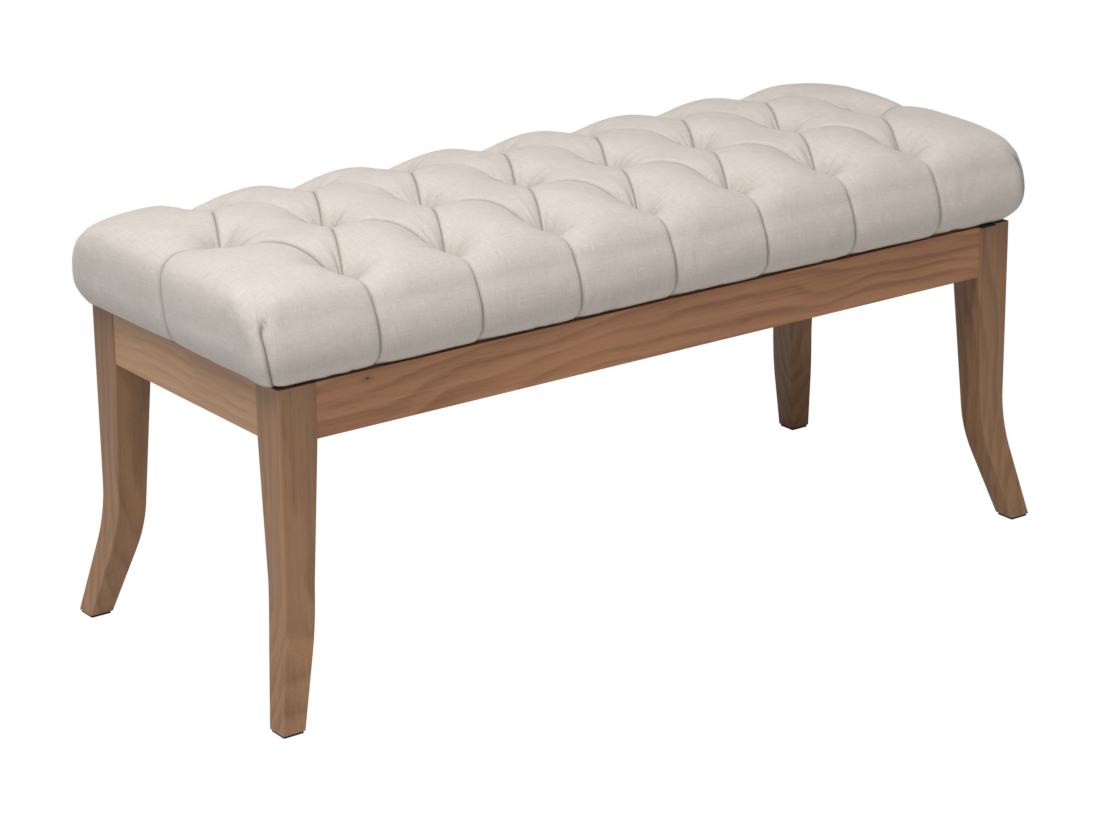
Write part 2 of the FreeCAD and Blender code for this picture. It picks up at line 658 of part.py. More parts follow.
# the last folds, at the ends, have two more points, to meet the seven of the edges round the cushion
END_FOLD_BREAKS = [0, 0.2, 0.35, 0.5, 0.65, 0.8, 1]
# how quickly a puff climbs away from a tuft, and how much sooner a side puff is at its full height
PUFF_CLIMB = 0.75
SIDE_PUFF_FULLNESS = 1.25
# least swell of a puff across its folds, as a share of the width there
LEAST_SWELL = 0.02
# Points of the edge on the shoulder round a corner of the cushion: inwards from its reach at the end and at the
# side, and height over its level
SHOULDER_CORNER = [(42, 8, 2.5), (20, 26, 3), (7, 58, 2.5)]
SHOULDER_SWELL = Vector(1.2, 1.2, 0.4)
SHOULDER_DROP = 3.5


class TuftedForm:
    """The cushion's outer form, or the same form drawn in by an inset, as lofts through lines and arcs.

    A band of lofts climbs the sides to the rows of tufts, and each puff between the tufts is lofted across. Folds
    run from tuft to tuft, and from the outer tufts over the edge and down the sides.
    """

    def __init__(self, inset):
        self.inset = inset
        self.floor = number_of(COVER_BOTTOM)
        self.columns = int(size("tuft_columns"))
        self.middle_tuft = self.floor + size("crown_height") - size("tuft_depth") - inset
        self.side_tuft = self.floor + size("side_crown_height") - size("tuft_depth") - inset
        self.crest = self.floor + size("crown_height") - inset
        self.side_crest = self.floor + size("side_crown_height") - inset
        self.faces = []

    def middle(self, number):
        """A tuft of the middle row."""
        return Vector((number - (self.columns - 1) / 2) * size("tuft_pitch"), 0, self.middle_tuft)

    def outer(self, number, side):
        """A tuft of the front row, side -1, or the back row, side 1."""
        across = (number - (self.columns - 2) / 2) * size("tuft_pitch")
        return Vector(across, side * size("tuft_row_spacing"), self.side_tuft)

    def fold(self, start, end, share):
        """A point of the bowed fold between two tufts."""
        low, high = next(pair for pair in zip(FOLD_SHAPE, FOLD_SHAPE[1:]) if share <= pair[1][0])
        rise = low[1] + (high[1] - low[1]) * (share - low[0]) / (high[0] - low[0])
        return start + (end - start) * share + Vector(0, 0, rise * size("fold_rise"))

    def puff(self, apex, one_side, other_side, crest, breaks, fullness):
        """Lofts from a tuft, along the two folds that leave it, to the line between two more tufts."""
        def section(share):
            if share <= 0:
                return Part.Vertex(apex)
            start, end = self.fold(apex, one_side, share), self.fold(apex, other_side, share)
            rise = math.sin(math.pi / 2 * min(1, share * fullness)) ** PUFF_CLIMB
            top = crest if share >= 1 else apex.z + (crest - apex.z) * rise
            middle = (start + end) * 0.5
            middle.z = max(top, start.z + LEAST_SWELL * (end - start).Length)
            return Part.Wire(Part.Arc(start, middle, end).toShape())

        for low, high in zip(breaks, breaks[1:]):
            self.faces += Part.makeLoft([section(low + (high - low) * step / 3) for step in range(4)],
                                        False, False).Faces

    def station(self, number):
        """A quarter of the closed line of edges round the cushion: seven points and a corner radius."""
        height, short_of_end, short_of_side, radius, depth = SIDE_STATIONS[number]
        level = self.floor + height + (self.inset if number == 0 else 0)
        level -= self.inset if number > len(SIDE_STATIONS) - 3 else 0
        half_length = size("frame_length") / 2 + size("end_bulge") - short_of_end - self.inset
        half_depth = size("frame_depth") / 2 + size("side_bulge") - short_of_side - self.inset
        before, after = SIDE_STATIONS[max(number - 1, 0)], SIDE_STATIONS[min(number + 1, len(SIDE_STATIONS) - 1)]
        slope = math.hypot(after[2] - before[2], after[0] - before[0])
        inward, down = (after[0] - before[0]) / slope, (after[2] - before[2]) / slope
        if number == 0:
            inward, down = 1.0, 0.0
        start = self.outer(self.columns - 2, 1).x
        corner = Vector(half_length - radius, half_depth - radius, level)
        on_arc = lambda turn: corner + Vector(math.cos(turn), math.sin(turn), 0) * radius
        points = [Vector(start, half_depth - inward * depth, level - down * depth),
                  Vector(start + size("tuft_pitch") / 4, half_depth, level), on_arc(math.pi / 2),
                  on_arc(math.pi / 4), on_arc(0), Vector(half_length, size("tuft_row_spacing") * 0.29, level),
                  Vector(half_length - inward * depth, 0, level - down * depth)]
        bends = [on_arc(math.pi * 3 / 8), on_arc(math.pi / 8)]
        return self.closed_line(points, bends, Vector(0, half_depth, level))

    def shoulder(self):
        """The edges on top between the sides and the outer tufts."""
        half_length = size("frame_length") / 2 - size("shoulder_from_end") - self.inset
        half_depth = size("tuft_row_spacing") + size("shoulder_past_tufts") - self.inset
        level = self.side_crest - SHOULDER_DROP
        low = level - size("shoulder_fold_depth")
        start = self.outer(self.columns - 2, 1).x
        points = [Vector(start, half_depth - 3, low),
                  Vector(start + size("tuft_pitch") / 4, half_depth - 2, level + 0.5)]
        points += [Vector(half_length - inward, half_depth - aside, level + up)
                   for inward, aside, up in SHOULDER_CORNER]
        points += [Vector(half_length - 2, size("shoulder_from_end"), level + 0.5),
                   Vector(half_length - 3, 0, low)]
        bends = [(points[2] + points[3]) * 0.5 + SHOULDER_SWELL, (points[3] + points[4]) * 0.5 + SHOULDER_SWELL]
        return self.closed_line(points, bends, Vector(0, half_depth, level))

    def tuft_line(self):
        """The edges through the outer tufts, which run along the last folds at the ends."""
        points = [self.fold(self.outer(self.columns - 2, 1), self.middle(self.columns - 1), share)
                  for share in END_FOLD_BREAKS]
        return self.closed_line(points, None, Vector(0, size("tuft_row_spacing"), self.side_crest))

    def closed_line(self, points, bends, long_side):
        """A quarter's points mirrored to the four corners, with an arc for each puff on the long sides."""
        def quarter(x_sign, y_sign):
            mirror = lambda point: Vector(point.x * x_sign, point.y * y_sign, point.z)
            corner = [mirror(point) for point in points]
            if bends is None:
                return [Part.LineSegment(one, two).toShape() for one, two in zip(corner, corner[1:])]
            swell = lambda low, high, along, out: Vector(low.x + (high.x - low.x) * along,
                                                         low.y + (high.y - low.y) * out,
                                                         low.z + (high.z - low.z) * 0.72)
            return [Part.Arc(corner[0], swell(corner[0], corner[1], 0.42, 0.72), corner[1]).toShape(),
                    Part.LineSegment(corner[1], corner[2]).toShape(),
                    Part.Arc(corner[2], mirror(bends[0]), corner[3]).toShape(),
                    Part.Arc(corner[3], mirror(bends[1]), corner[4]).toShape(),
                    Part.LineSegment(corner[4], corner[5]).toShape(),
                    Part.Arc(corner[5], swell(corner[6], corner[5], 0.72, 0.42), corner[6]).toShape()]

        def side(y_sign):
            arcs = []
            for number in range(self.columns - 2):
                start, end = (Vector(self.outer(each, 1).x, points[0].y * y_sign, points[0].z)
                              for each in (number, number + 1))
                top = Vector((start.x + end.x) / 2, long_side.y * y_sign, long_side.z)
                arcs.append(Part.Arc(start, top, end).toShape())
            return arcs

        return Part.Wire(quarter(1, 1) + quarter(1, -1)[::-1] + side(-1)[::-1] + quarter(-1, -1)
                         + quarter(-1, 1)[::-1] + side(1))

    def solid(self):
        """Sews the lofts and the flat underside into one solid."""
        lines = [self.station(number) for number in range(len(SIDE_STATIONS))]
        self.faces += Part.makeLoft(lines, False, False).Faces
        self.faces += Part.makeLoft([lines[-1], self.shoulder(), self.tuft_line()], False, True).Faces
        breaks = [share for share, rise in FOLD_SHAPE]
        last = self.columns - 2
        for number in range(self.columns - 1):
            front, back = self.outer(number, -1), self.outer(number, 1)
            for tuft, at_end in ((number, number == 0), (number + 1, number == last)):
                self.puff(self.middle(tuft), front, back, self.crest, END_FOLD_BREAKS if at_end else breaks, 1)
        for side in (-1, 1):
            for number in range(1, self.columns - 1):
                self.puff(self.middle(number), self.outer(number - 1, side), self.outer(number, side),
                          self.side_crest, breaks, SIDE_PUFF_FULLNESS)
        self.faces.append(Part.Face(lines[0]))
        skin = Part.makeCompound(self.faces)
        skin.sewShape(0.02)
        solid = Part.Solid(skin.Shells[0])
        if solid.Volume < 0:
            solid.reverse()
        return solid

    def pit_floor(self, y):
        """The height at which the twine's knot lies in a tuft of the row at y."""
        return (self.middle_tuft if y == 0 else self.side_tuft) - size("tuft_pit_depth")

    def pits(self):
        """The small flat-floored pits at the tufts."""
        radius = size("tuft_pit_radius") + self.inset
        return [Part.makeCylinder(radius, size("tuft_depth") / 2, Vector(x, y, self.pit_floor(y)))
                for x, y in tuft_places()]


def bores_at_tufts(diameter, low, high):
    """Upright cylinders at the tufts."""
    return [Part.makeCylinder(diameter / 2, high - low, Vector(x, y, low)) for x, y in tuft_places()]


def rounded_plate(name, half_length, half_depth, radius, thickness, at):
    """A flat plate with rounded corners."""
    body, sketch = body_with_sketch(name, "XY_Plane")
    polygon(sketch, [(f"-{half_length}", f"-{half_depth}"), (half_length, f"-{half_depth}"),
                     (half_length, half_depth), (f"-{half_length}", half_depth)])
    solid = pad(body, sketch, thickness)

    def upright(edge):
        return edge.BoundBox.ZLength > 0.1 and edge.BoundBox.DiagonalLength < edge.BoundBox.ZLength + 0.01

    round_edges(body, solid, radius, upright)
    put(body, at)
    return body


def staple_places(margin, spacing, keep_clear):
    """Where staples go along the board's edge: each a place and a turn. keep_clear leaves out the corners."""
    half_length, half_depth = number_of(BOARD_HALF_LENGTH) - margin, number_of(BOARD_HALF_DEPTH) - margin
    places = []
    for reach, turn, across in ((half_length, 0, half_depth), (half_depth, 90, half_length)):
        clear = reach - keep_clear
        count = 2 * max(1, round(clear / spacing))
        for number in range(count):
            along = -clear + 2 * clear * (number + 0.5) / count
            for side in (-1, 1):
                spot = Vector(along, side * across, 0) if turn == 0 else Vector(side * across, along, 0)
                places.append((spot, turn))
    return places


def staples(places, level, grow=0.0):
    """Staples with the crown's top at a level and the legs pointing up, drawn larger by grow for their slots."""
    wire, width, leg, flat = size("staple_wire"), size("staple_width"), size("staple_leg"), size("staple_flat")
    shape = Part.makeBox(width + 2 * grow, flat + 2 * grow, wire + grow,
                         Vector(-width / 2 - grow, -flat / 2 - grow, -wire - grow))
    for start in (-width / 2, width / 2 - wire):
        shape = shape.fuse(Part.makeBox(wire + 2 * grow, flat + 2 * grow, leg + grow + wire / 2,
                                        Vector(start - grow, -flat / 2 - grow, -wire / 2)))
    return [placed(shape, Placement(spot + Vector(0, 0, level), Rotation(Vector(0, 0, 1), turn)))
            for spot, turn in places]


def seat():
    """The seat: board, foam, cover, twines, staples, dust cloth and tag."""
    cover_bottom, board_bottom = number_of(COVER_BOTTOM), number_of(BOARD_BOTTOM)
    board_top = board_bottom + size("board_thickness")
    cover_places = staple_places(size("cover_staple_margin"), size("cover_staple_spacing"),
                                 size("cover_staple_corner"))
    dust_places = staple_places(size("dust_staple_margin"), size("dust_staple_spacing"),
                                size("dust_staple_corner"))
    cloth_bottom = size("frame_height")
    cover_staples = staples(cover_places, cover_bottom)
    dust_staples = staples(dust_places, cloth_bottom)
    grow = size("staple_clearance")
    slots = staples(cover_places, cover_bottom, grow) + staples(dust_places, cloth_bottom, grow)
    node(feature("cover_staples", Part.makeCompound(cover_staples)), "cover_staples")
    node(feature("dust_cloth_staples", Part.makeCompound(dust_staples)), "dust_cloth_staples")

    over = size("overrun")
    screw_hole = size("screw_diameter") + 2 * size("screw_clearance")
    screw_spots = [corner_placement(which).multVec(Vector(number_of(SEAT_SCREW_X), number_of(SEAT_SCREW_Y), 0))
                   for which in range(4)]
    screw_spots += [Vector(0, side * size("cross_screw_spacing") / 2, 0) for side in (-1, 1)]
    tip = number_of(SEAT_SCREW_HEAD) + size("seat_screw_length") + 2 * size("screw_clearance")
    screw_holes = [Part.makeCylinder(screw_hole / 2, tip - cloth_bottom + over,
                                     spot + Vector(0, 0, cloth_bottom - over)) for spot in screw_spots]

    board = rounded_plate("seat_board_blank", BOARD_HALF_LENGTH, BOARD_HALF_DEPTH, "<board_corner_radius>",
                          "<board_thickness>", (0, 0, BOARD_BOTTOM))
    twine_holes = bores_at_tufts(size("board_hole_diameter"), board_bottom - over, board_top + over)
    holes = feature("seat_board_holes", Part.makeCompound(slots + screw_holes + twine_holes))
    node(cut("seat_board", board, [holes]), "seat_board")

    inner = TuftedForm(size("cover_thickness"))
    filling = inner.solid().cut(inner.pits())
    plate = board.Shape.copy()
    twine_hole = size("twine_diameter") + 2 * size("twine_clearance")
    foam = filling.cut([plate] + bores_at_tufts(twine_hole, board_top - over, inner.crest))
    node(feature("seat_foam", foam), "seat_foam")

    flange_length = number_of(BOARD_HALF_LENGTH) - size("flange_width")
    flange_depth = number_of(BOARD_HALF_DEPTH) - size("flange_width")
    opening = Part.makeBox(2 * flange_length, 2 * flange_depth, size("cover_thickness") + 2 * over,
                           Vector(-flange_length, -flange_depth, cover_bottom - over))
    outside = TuftedForm(0)
    cover = outside.solid().cut([filling, opening] + outside.pits() + slots + screw_holes
                                + bores_at_tufts(twine_hole, board_top, outside.middle_tuft))
    node(feature("seat_cover", cover), "seat_cover")

    twines = []
    knot = size("knot_diameter") / 2
    for x, y in tuft_places():
        pit_floor = outside.pit_floor(y)
        low = board_bottom - size("under_knot_thickness")
        strand = Part.makeCylinder(size("twine_diameter") / 2, pit_floor + knot - low, Vector(x, y, low))
        knots = [Part.makeSphere(knot, Vector(x, y, pit_floor + knot + size("touch_gap"))),
                 Part.makeCylinder(size("under_knot_diameter") / 2, size("under_knot_thickness"),
                                   Vector(x, y, low))]
        twines.append(strand.fuse(knots))
    node(feature("tuft_twines", Part.makeCompound(twines)), "tuft_twines")

    cloth = rounded_plate("dust_cloth_blank", f"({BOARD_HALF_LENGTH} - <dust_cloth_margin>)",
                          f"({BOARD_HALF_DEPTH} - <dust_cloth_margin>)", "<board_corner_radius>",
                          "<dust_cloth_thickness>", (0, 0, FRAME_TOP))
    cloth_holes = feature("dust_cloth_holes", Part.makeCompound(staples(dust_places, cloth_bottom, grow)
                                                                + screw_holes))
    node(cut("dust_cloth", cloth, [cloth_holes]), "dust_cloth")

    tag = box("side_tag", "<tag_width>", "<tag_depth>", "<tag_thickness>",
              ("<frame_length>/2 - <tag_from_end> - <tag_width>", "-<frame_depth>/2 - <tag_stand_out>",
               f"{COVER_BOTTOM} - <tag_thickness>"))
    node(tag, "side_tag")


for corner in range(4):
    leg(corner)
    foot_pad(corner)
    corner_block(corner)
rail("rail_front", LONG_RAIL, (0, "-<frame_depth>/2 + <rail_setback>", RAIL_BOTTOM), ALONG_Z, True)
rail("rail_back", LONG_RAIL, (0, "<frame_depth>/2 - <rail_setback>", RAIL_BOTTOM),
     Rotation(Vector(0, 0, 1), 180), True)
rail("rail_left", SHORT_RAIL, ("-<frame_length>/2 + <rail_setback>", 0, RAIL_BOTTOM),
     Rotation(Vector(0, 0, 1), -90), False)
rail("rail_right", SHORT_RAIL, ("<frame_length>/2 - <rail_setback>", 0, RAIL_BOTTOM),
     Rotation(Vector(0, 0, 1), 90), False)
cross_rail()
fasteners_in_frame()
seat()
doc.recompute()

for item in doc.Objects:
    if "Invalid" in item.State or "Error" in item.State:
        raise RuntimeError(f"{item.Label} failed: {item.State}")
os.makedirs("parts", exist_ok=True)
for item in nodes:
    shape = item.Shape
    if shape.isNull() or not shape.isValid() or not shape.Solids:
        raise RuntimeError(f"{item.Label} has no valid solid")
    shape.exportStep(f"parts/{item.Label}.step")
    box_size = shape.BoundBox
    print(f"{item.Label}: {len(shape.Solids)} solids, {shape.Volume / 1000:.1f} cm3, "
          f"{box_size.XLength:.1f} x {box_size.YLength:.1f} x {box_size.ZLength:.1f} mm, "
          f"z {box_size.ZMin:.1f} to {box_size.ZMax:.1f}")
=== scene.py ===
"""Looks of the tufted bench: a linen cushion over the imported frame, wood and a plain studio.

Metres, with X along the bench and Z up.
"""

import math

import bmesh
import bpy
import numpy as np
from mathutils import Matrix, Vector, noise


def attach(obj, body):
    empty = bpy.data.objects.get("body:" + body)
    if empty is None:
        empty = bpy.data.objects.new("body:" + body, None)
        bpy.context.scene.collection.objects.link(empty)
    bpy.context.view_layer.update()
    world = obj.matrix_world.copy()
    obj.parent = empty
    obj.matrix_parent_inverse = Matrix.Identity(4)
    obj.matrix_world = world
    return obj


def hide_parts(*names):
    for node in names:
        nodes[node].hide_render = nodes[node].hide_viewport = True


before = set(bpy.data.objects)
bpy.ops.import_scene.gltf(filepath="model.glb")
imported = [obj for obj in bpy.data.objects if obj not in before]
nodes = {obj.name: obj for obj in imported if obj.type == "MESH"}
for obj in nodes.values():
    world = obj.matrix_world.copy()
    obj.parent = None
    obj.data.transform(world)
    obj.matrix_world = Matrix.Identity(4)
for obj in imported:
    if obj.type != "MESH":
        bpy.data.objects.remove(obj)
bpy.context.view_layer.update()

MM = 0.001

# Camera

def place_camera():
    """The photograph's viewpoint, found from the frame's edges."""
    place = Vector((-2.1419, -2.9209, 1.4444))
    yaw, pitch, roll = math.radians(35.931), math.radians(19.178), math.radians(-0.684)
    forward = Vector((math.sin(yaw) * math.cos(pitch), math.cos(yaw) * math.cos(pitch), -math.sin(pitch)))
    level = Vector((math.cos(yaw), -math.sin(yaw), 0))
    upright = level.cross(forward)
    right = math.cos(roll) * level + math.sin(roll) * upright
    up = -math.sin(roll) * level + math.cos(roll) * upright
    turn = Matrix((right, up, -forward)).transposed()
    camera = bpy.data.objects.new("camera", bpy.data.cameras.new("camera"))
    camera.data.sensor_width = 36
    camera.data.sensor_fit = "HORIZONTAL"
    camera.data.lens = 109.63
    camera.matrix_world = Matrix.Translation(place) @ turn.to_4x4()
    bpy.context.scene.collection.objects.link(camera)
    bpy.context.scene.camera = camera


# Cushion, in millimetres until its mesh is made

# tufts: the spacing along the bench, the distance between rows, and how many stand in the middle row
PITCH = 127.4
ROW = 137.0
COLUMNS = 8
# heights of the flat underside, the lower edge and the top before tufting
UNDERSIDE = 367.6
LOWER_EDGE = 368.6
CREST = 482.5
# how far the twine draws a tuft down, and how wide its hollow is
TUFT_DEPTH = 42.0
HOLLOW = 22.5
HOLLOW_REACH = 85.0
# folds: their depth, and how widely the crease, the slow slope and the swell beside them spread
FOLD_DEPTH = 5.2
CREASE_SPREAD = 2.3
SLOPE_SPREAD = 21
SWELL_SPREAD = 32
# share of a gentle fold's depth that the cloth slopes down to slowly
SLOW_SHARE = 0.52
# how widely the painted shade beside a fold spreads
CREASE_SHADE_SPREAD = 1.1
PUCKER_DEPTH = 4.2
WRINKLE_DEPTH = 1.6
# the corner lap: how far the end's cloth stands out over the side's, and the groove beside it
LAP_RISE = 2.4
LAP_GROOVE = 3.0
# outline before tufting, from the bottom edge to the top: (half depth or half length, height)
SIDE_PROFILE = [(190, LOWER_EDGE), (198, 375.5), (204, 385), (206, 396), (205, 408), (201.5, 421), (196, 433),
                (190.5, 445), (183, 455), (174, 463), (164, 469), (152, 473.5), (137, 477), (120, 479.5),
                (100, 481.2), (60, 482.3), (0, CREST)]
END_PROFILE = [(506, LOWER_EDGE), (511, 372), (517.5, 383), (522, 397), (523.5, 410), (525, 425), (525, 440),
               (523, 451), (518, 460), (510, 467), (499, 472.3), (485, 476.2), (466, 479.2), (444, 481),
               (400, 482.2), (300, CREST)]
# radius of the outline's corners, by height
CORNER_RADIUS = [(368, 22), (400, 26), (430, 28), (455, 35), (466, 56), (475, 95), (CREST, 140)]
# where the side of the cushion begins in a corner's columns, and how many columns run along a fold
SIDE_TOP = 455.0
FOLD_STEPS = 60
ACROSS_STEPS = 34
DOWN_STEPS = 54


def smooth_line(points, shares):
    """Points at shares of the length of a smooth line through the given ones."""
    points = np.array(points, float)
    padded = np.vstack([2 * points[0] - points[1], points, 2 * points[-1] - points[-2]])
    fine = []
    for before, start, end, after in zip(padded, padded[1:], padded[2:], padded[3:]):
        step = np.linspace(0, 1, 12, endpoint=False)[:, None]
        squared = (2 * before - 5 * start + 4 * end - after) * step**2
        cubed = (3 * start - before - 3 * end + after) * step**3
        fine.append(0.5 * (2 * start + (end - before) * step + squared + cubed))
    fine = np.vstack(fine + [points[-1:]])
    length = np.concatenate([[0], np.cumsum(np.linalg.norm(np.diff(fine, axis=0), axis=1))])
    ways = range(fine.shape[1])
    return np.column_stack([np.interp(shares * length[-1], length, fine[:, way]) for way in ways])


def reach_at(profile, height):
    """Half depth or half length of the outline at a height."""
    line = smooth_line(profile, np.linspace(0, 1, 400))
    return np.interp(height, np.maximum.accumulate(line[:, 1]), line[:, 0])


def crowded(count, power=1.5):
    """Shares from 0 to 1, closer together near both ends."""
    share = np.linspace(0, 1, count + 1)
    return np.where(share < 0.5, 0.5 * (2 * share) ** power, 1 - 0.5 * (2 - 2 * share) ** power)


def eased(value, low, high):
    """0 below low, 1 above high, and a smooth step between them."""
    share = np.clip((value - low) / (high - low), 0, 1)
    return share * share * (3 - 2 * share)


# heights at which the untufted top's outline is worked out
LEVELS = np.linspace(440, CREST, 340)
LEVEL_HALF_LENGTH = reach_at(END_PROFILE, LEVELS)
LEVEL_HALF_DEPTH = reach_at(SIDE_PROFILE, LEVELS)
LEVEL_RADIUS = np.minimum(np.interp(LEVELS, *zip(*CORNER_RADIUS)), LEVEL_HALF_DEPTH)


def crown(x, y):
    """Height of the untufted top: the level whose rounded outline passes through the place."""
    x, y = np.abs(np.asarray(x, float)), np.abs(np.asarray(y, float))
    past_x = x[..., None] - LEVEL_HALF_LENGTH + LEVEL_RADIUS
    past_y = y[..., None] - LEVEL_HALF_DEPTH + LEVEL_RADIUS
    outside = np.hypot(np.maximum(past_x, 0), np.maximum(past_y, 0))
    distance = outside + np.minimum(np.maximum(past_x, past_y), 0) - LEVEL_RADIUS
    above = np.maximum.accumulate(distance, axis=-1) >= 0
    first = np.where(above.any(axis=-1), above.argmax(axis=-1), len(LEVELS) - 1)
    before = np.maximum(first - 1, 0)
    low = np.take_along_axis(distance, before[..., None], -1)[..., 0]
    high = np.take_along_axis(distance, first[..., None], -1)[..., 0]
    share = np.where(high > low, np.clip(-low / np.maximum(high - low, 1e-9), 0, 1), 0)
    return LEVELS[before] + (LEVELS[first] - LEVELS[before]) * share


def middle_x(number):
    return (number - (COLUMNS - 1) / 2) * PITCH


def outer_x(number):
    return (number - (COLUMNS - 2) / 2) * PITCH


def tuft_places():
    """The middle row, and a row of one fewer on each side of it."""
    middle = [(middle_x(number), 0.0) for number in range(COLUMNS)]
    return middle + [(outer_x(number), side * ROW) for side in (-1, 1) for number in range(COLUMNS - 1)]


TUFTS = np.array([(x, y, float(crown(x, y))) for x, y in tuft_places()])


def rough(points, size, seed):
    """Smooth noise from -1 to 1 at points, with lumps of about the given size."""
    flat = points.reshape(-1, 3) / size + seed
    return np.array([noise.noise(Vector(point)) for point in flat]).reshape(points.shape[:-1])


def drawn_in(points, distance, gentle):
    """How far tufts, folds and puckers draw the untufted form in at points, and how much shade is painted
    into their hollows and puckers.

    distance is how far each point lies from the nearest fold. gentle is 1 where the cloth slopes slowly into
    that fold, and 0 where it stands full up to it, as on the side that laps over.
    """
    gap = np.linalg.norm(points[..., None, :] - TUFTS, axis=-1)
    nearest = gap.argmin(axis=-1)
    near = gap.min(axis=-1)
    wall = np.sqrt(gap**2 + 16) - 4 + ((0.75 - 0.6 * gentle) * np.minimum(distance, near))[..., None]
    hollow = (np.exp(-wall / HOLLOW) * (1 - eased(gap, 30, HOLLOW_REACH))).sum(axis=-1) * TUFT_DEPTH
    at_tuft = np.exp(-near / HOLLOW)
    on_side = 1 - eased(points[..., 2], 430, 462)
    at_bottom = 1 - eased(points[..., 2], 370, 395)
    sharp = np.exp(-distance / (CREASE_SPREAD + 3.4 * at_tuft))
    slow = np.exp(-((distance / SLOPE_SPREAD) ** 1.4))
    fold_depth = FOLD_DEPTH + 1.2 * at_tuft - 1.6 * at_bottom
    fold = fold_depth * ((1 - SLOW_SHARE * gentle) * sharp + SLOW_SHARE * gentle * slow)
    fold = fold + np.exp(-((distance / SWELL_SPREAD) ** 2)) * (1 - at_bottom)
    # puckers radiate from each tuft
    centre = TUFTS[nearest]
    turn = np.arctan2(points[..., 1] - centre[..., 1], points[..., 0] - centre[..., 0])
    turn = turn + 0.35 * np.sin(2 * turn + nearest * 1.7) + 0.2 * np.sin(5 * turn + nearest * 2.3)
    count = 10 + nearest % 3
    ridge = 1 - np.abs(np.cos(count * turn / 2 + nearest * 2.1)) ** 0.8
    strength = 0.3 + 0.7 * np.abs(np.sin(nearest * 3.1 + turn * 1.3))
    reach = 30 + 22 * np.abs(np.sin(nearest * 1.9 + turn * 2.2))
    pucker = strength * ridge * eased(near, 3, 12) * (1 - eased(near, 12, reach)) * (1 - on_side)
    lumps = 0.9 * rough(points, 55, 3.1) + 0.35 * rough(points, 19, 8.7)
    # painted shade: darkest deep in each tuft's hollow and along the pucker valleys, where shade would fall
    shade = 0.62 * np.exp(-near / 7.5) + 0.17 * np.exp(-near / 19) + 0.42 * pucker * ridge**2
    return hollow + fold * eased(near, 0, 6) + PUCKER_DEPTH * pucker - lumps, shade


def side_wrinkles(points, down_share):
    """Soft upright wrinkles where the cloth is pulled down to the frame."""
    upright = points * np.array([1.0, 1.0, 0.16])
    pull = eased(down_share, 0.3, 0.9)
    ridges = np.abs(rough(upright, 15, 5.3))
    patches = eased(rough(points, 90, 1.9), -0.1, 0.35)
    return WRINKLE_DEPTH * pull * patches * (1 - eased(ridges, 0, 0.25)) - 0.25 * pull


# points nearer than this, in metres, are welded; the underside's two rings lie this far further in
WELD_DISTANCE = 0.00002
UNDERSIDE_INSETS = (0.0025, 0.03)


class CushionGrid:
    """Collects grids of points with their cloth coordinates, and welds them into one mesh."""

    def __init__(self):
        self.points, self.cloth, self.dark, self.faces = [], [], [], []

    def add(self, points, cloth, distance, shade, flip=False):
        """A grid of points, with cloth coordinates, distances from the nearest fold and the tufts' shade."""
        first = sum(len(block) for block in self.points)
        rows, columns = points.shape[:2]
        self.points.append(points.reshape(-1, 3))
        self.cloth.append(cloth.reshape(-1, 2))
        # painted shade: darker near each fold, or the tufts' painted shade where that is darker
        self.dark.append(np.maximum(0.9 * np.exp(-distance / CREASE_SHADE_SPREAD), shade).reshape(-1))
        index = first + np.arange(rows * columns).reshape(rows, columns)
        corners = np.stack([index[:-1, :-1], index[:-1, 1:], index[1:, 1:], index[1:, :-1]], axis=-1)
        corners = corners.reshape(-1, 4)
        self.faces.append(corners[:, ::-1] if flip else corners)

    def mesh(self, name):
        """The welded mesh, closed by a flat underside."""
        points, cloth = np.vstack(self.points) * MM, np.vstack(self.cloth) * MM
        # the tucked edge lies in shadow
        dark = np.maximum(np.concatenate(self.dark), 1 - eased(points[:, 2] / MM, 369.0, 371.5))
        mesh = bmesh.new()
        weave = mesh.loops.layers.uv.new("cloth")
        # the crease attribute carries the painted shade of the folds, tuft hollows and tucked edge
        crease = mesh.verts.layers.float.new("crease")
        made = [mesh.verts.new(point) for point in points]
        for vertex, value in zip(made, dark):
            vertex[crease] = value
        for corners in np.vstack(self.faces):
            face = mesh.faces.new([made[corner] for corner in corners])
            face.smooth = True
            for loop, corner in zip(face.loops, corners):
                loop[weave].uv = cloth[corner]
        bmesh.ops.remove_doubles(mesh, verts=mesh.verts, dist=WELD_DISTANCE)
        bmesh.ops.dissolve_degenerate(mesh, edges=mesh.edges, dist=0.00001)
        self.close_underside(mesh, weave)
        result = bpy.data.meshes.new(name)
        mesh.to_mesh(result)
        mesh.free()
        return result

    @staticmethod
    def close_underside(mesh, weave):
        """Turns the cloth in under the cushion and closes it flat."""
        half_length, half_depth = END_PROFILE[0][0] * MM, SIDE_PROFILE[0][0] * MM
        for inset in UNDERSIDE_INSETS:
            border = [edge for edge in mesh.edges if edge.is_boundary]
            grown = bmesh.ops.extrude_edge_only(mesh, edges=border)["geom"]
            for vertex in (item for item in grown if isinstance(item, bmesh.types.BMVert)):
                half = max(abs(vertex.co.x) / half_length, abs(vertex.co.y) / half_depth, 0.2)
                vertex.co.x -= inset * vertex.co.x / half_length / half
                vertex.co.y -= inset * vertex.co.y / half_depth / half
                vertex.co.z = UNDERSIDE * MM
        border = [edge for edge in mesh.edges if edge.is_boundary]
        bmesh.ops.contextual_create(mesh, geom=border)
        for face in mesh.faces:
            if all(abs(vertex.co.z - UNDERSIDE * MM) < 0.0001 for vertex in face.verts):
                for loop in face.loops:
                    loop[weave].uv = loop.vert.co.xy
        bmesh.ops.recalc_face_normals(mesh, faces=mesh.faces)


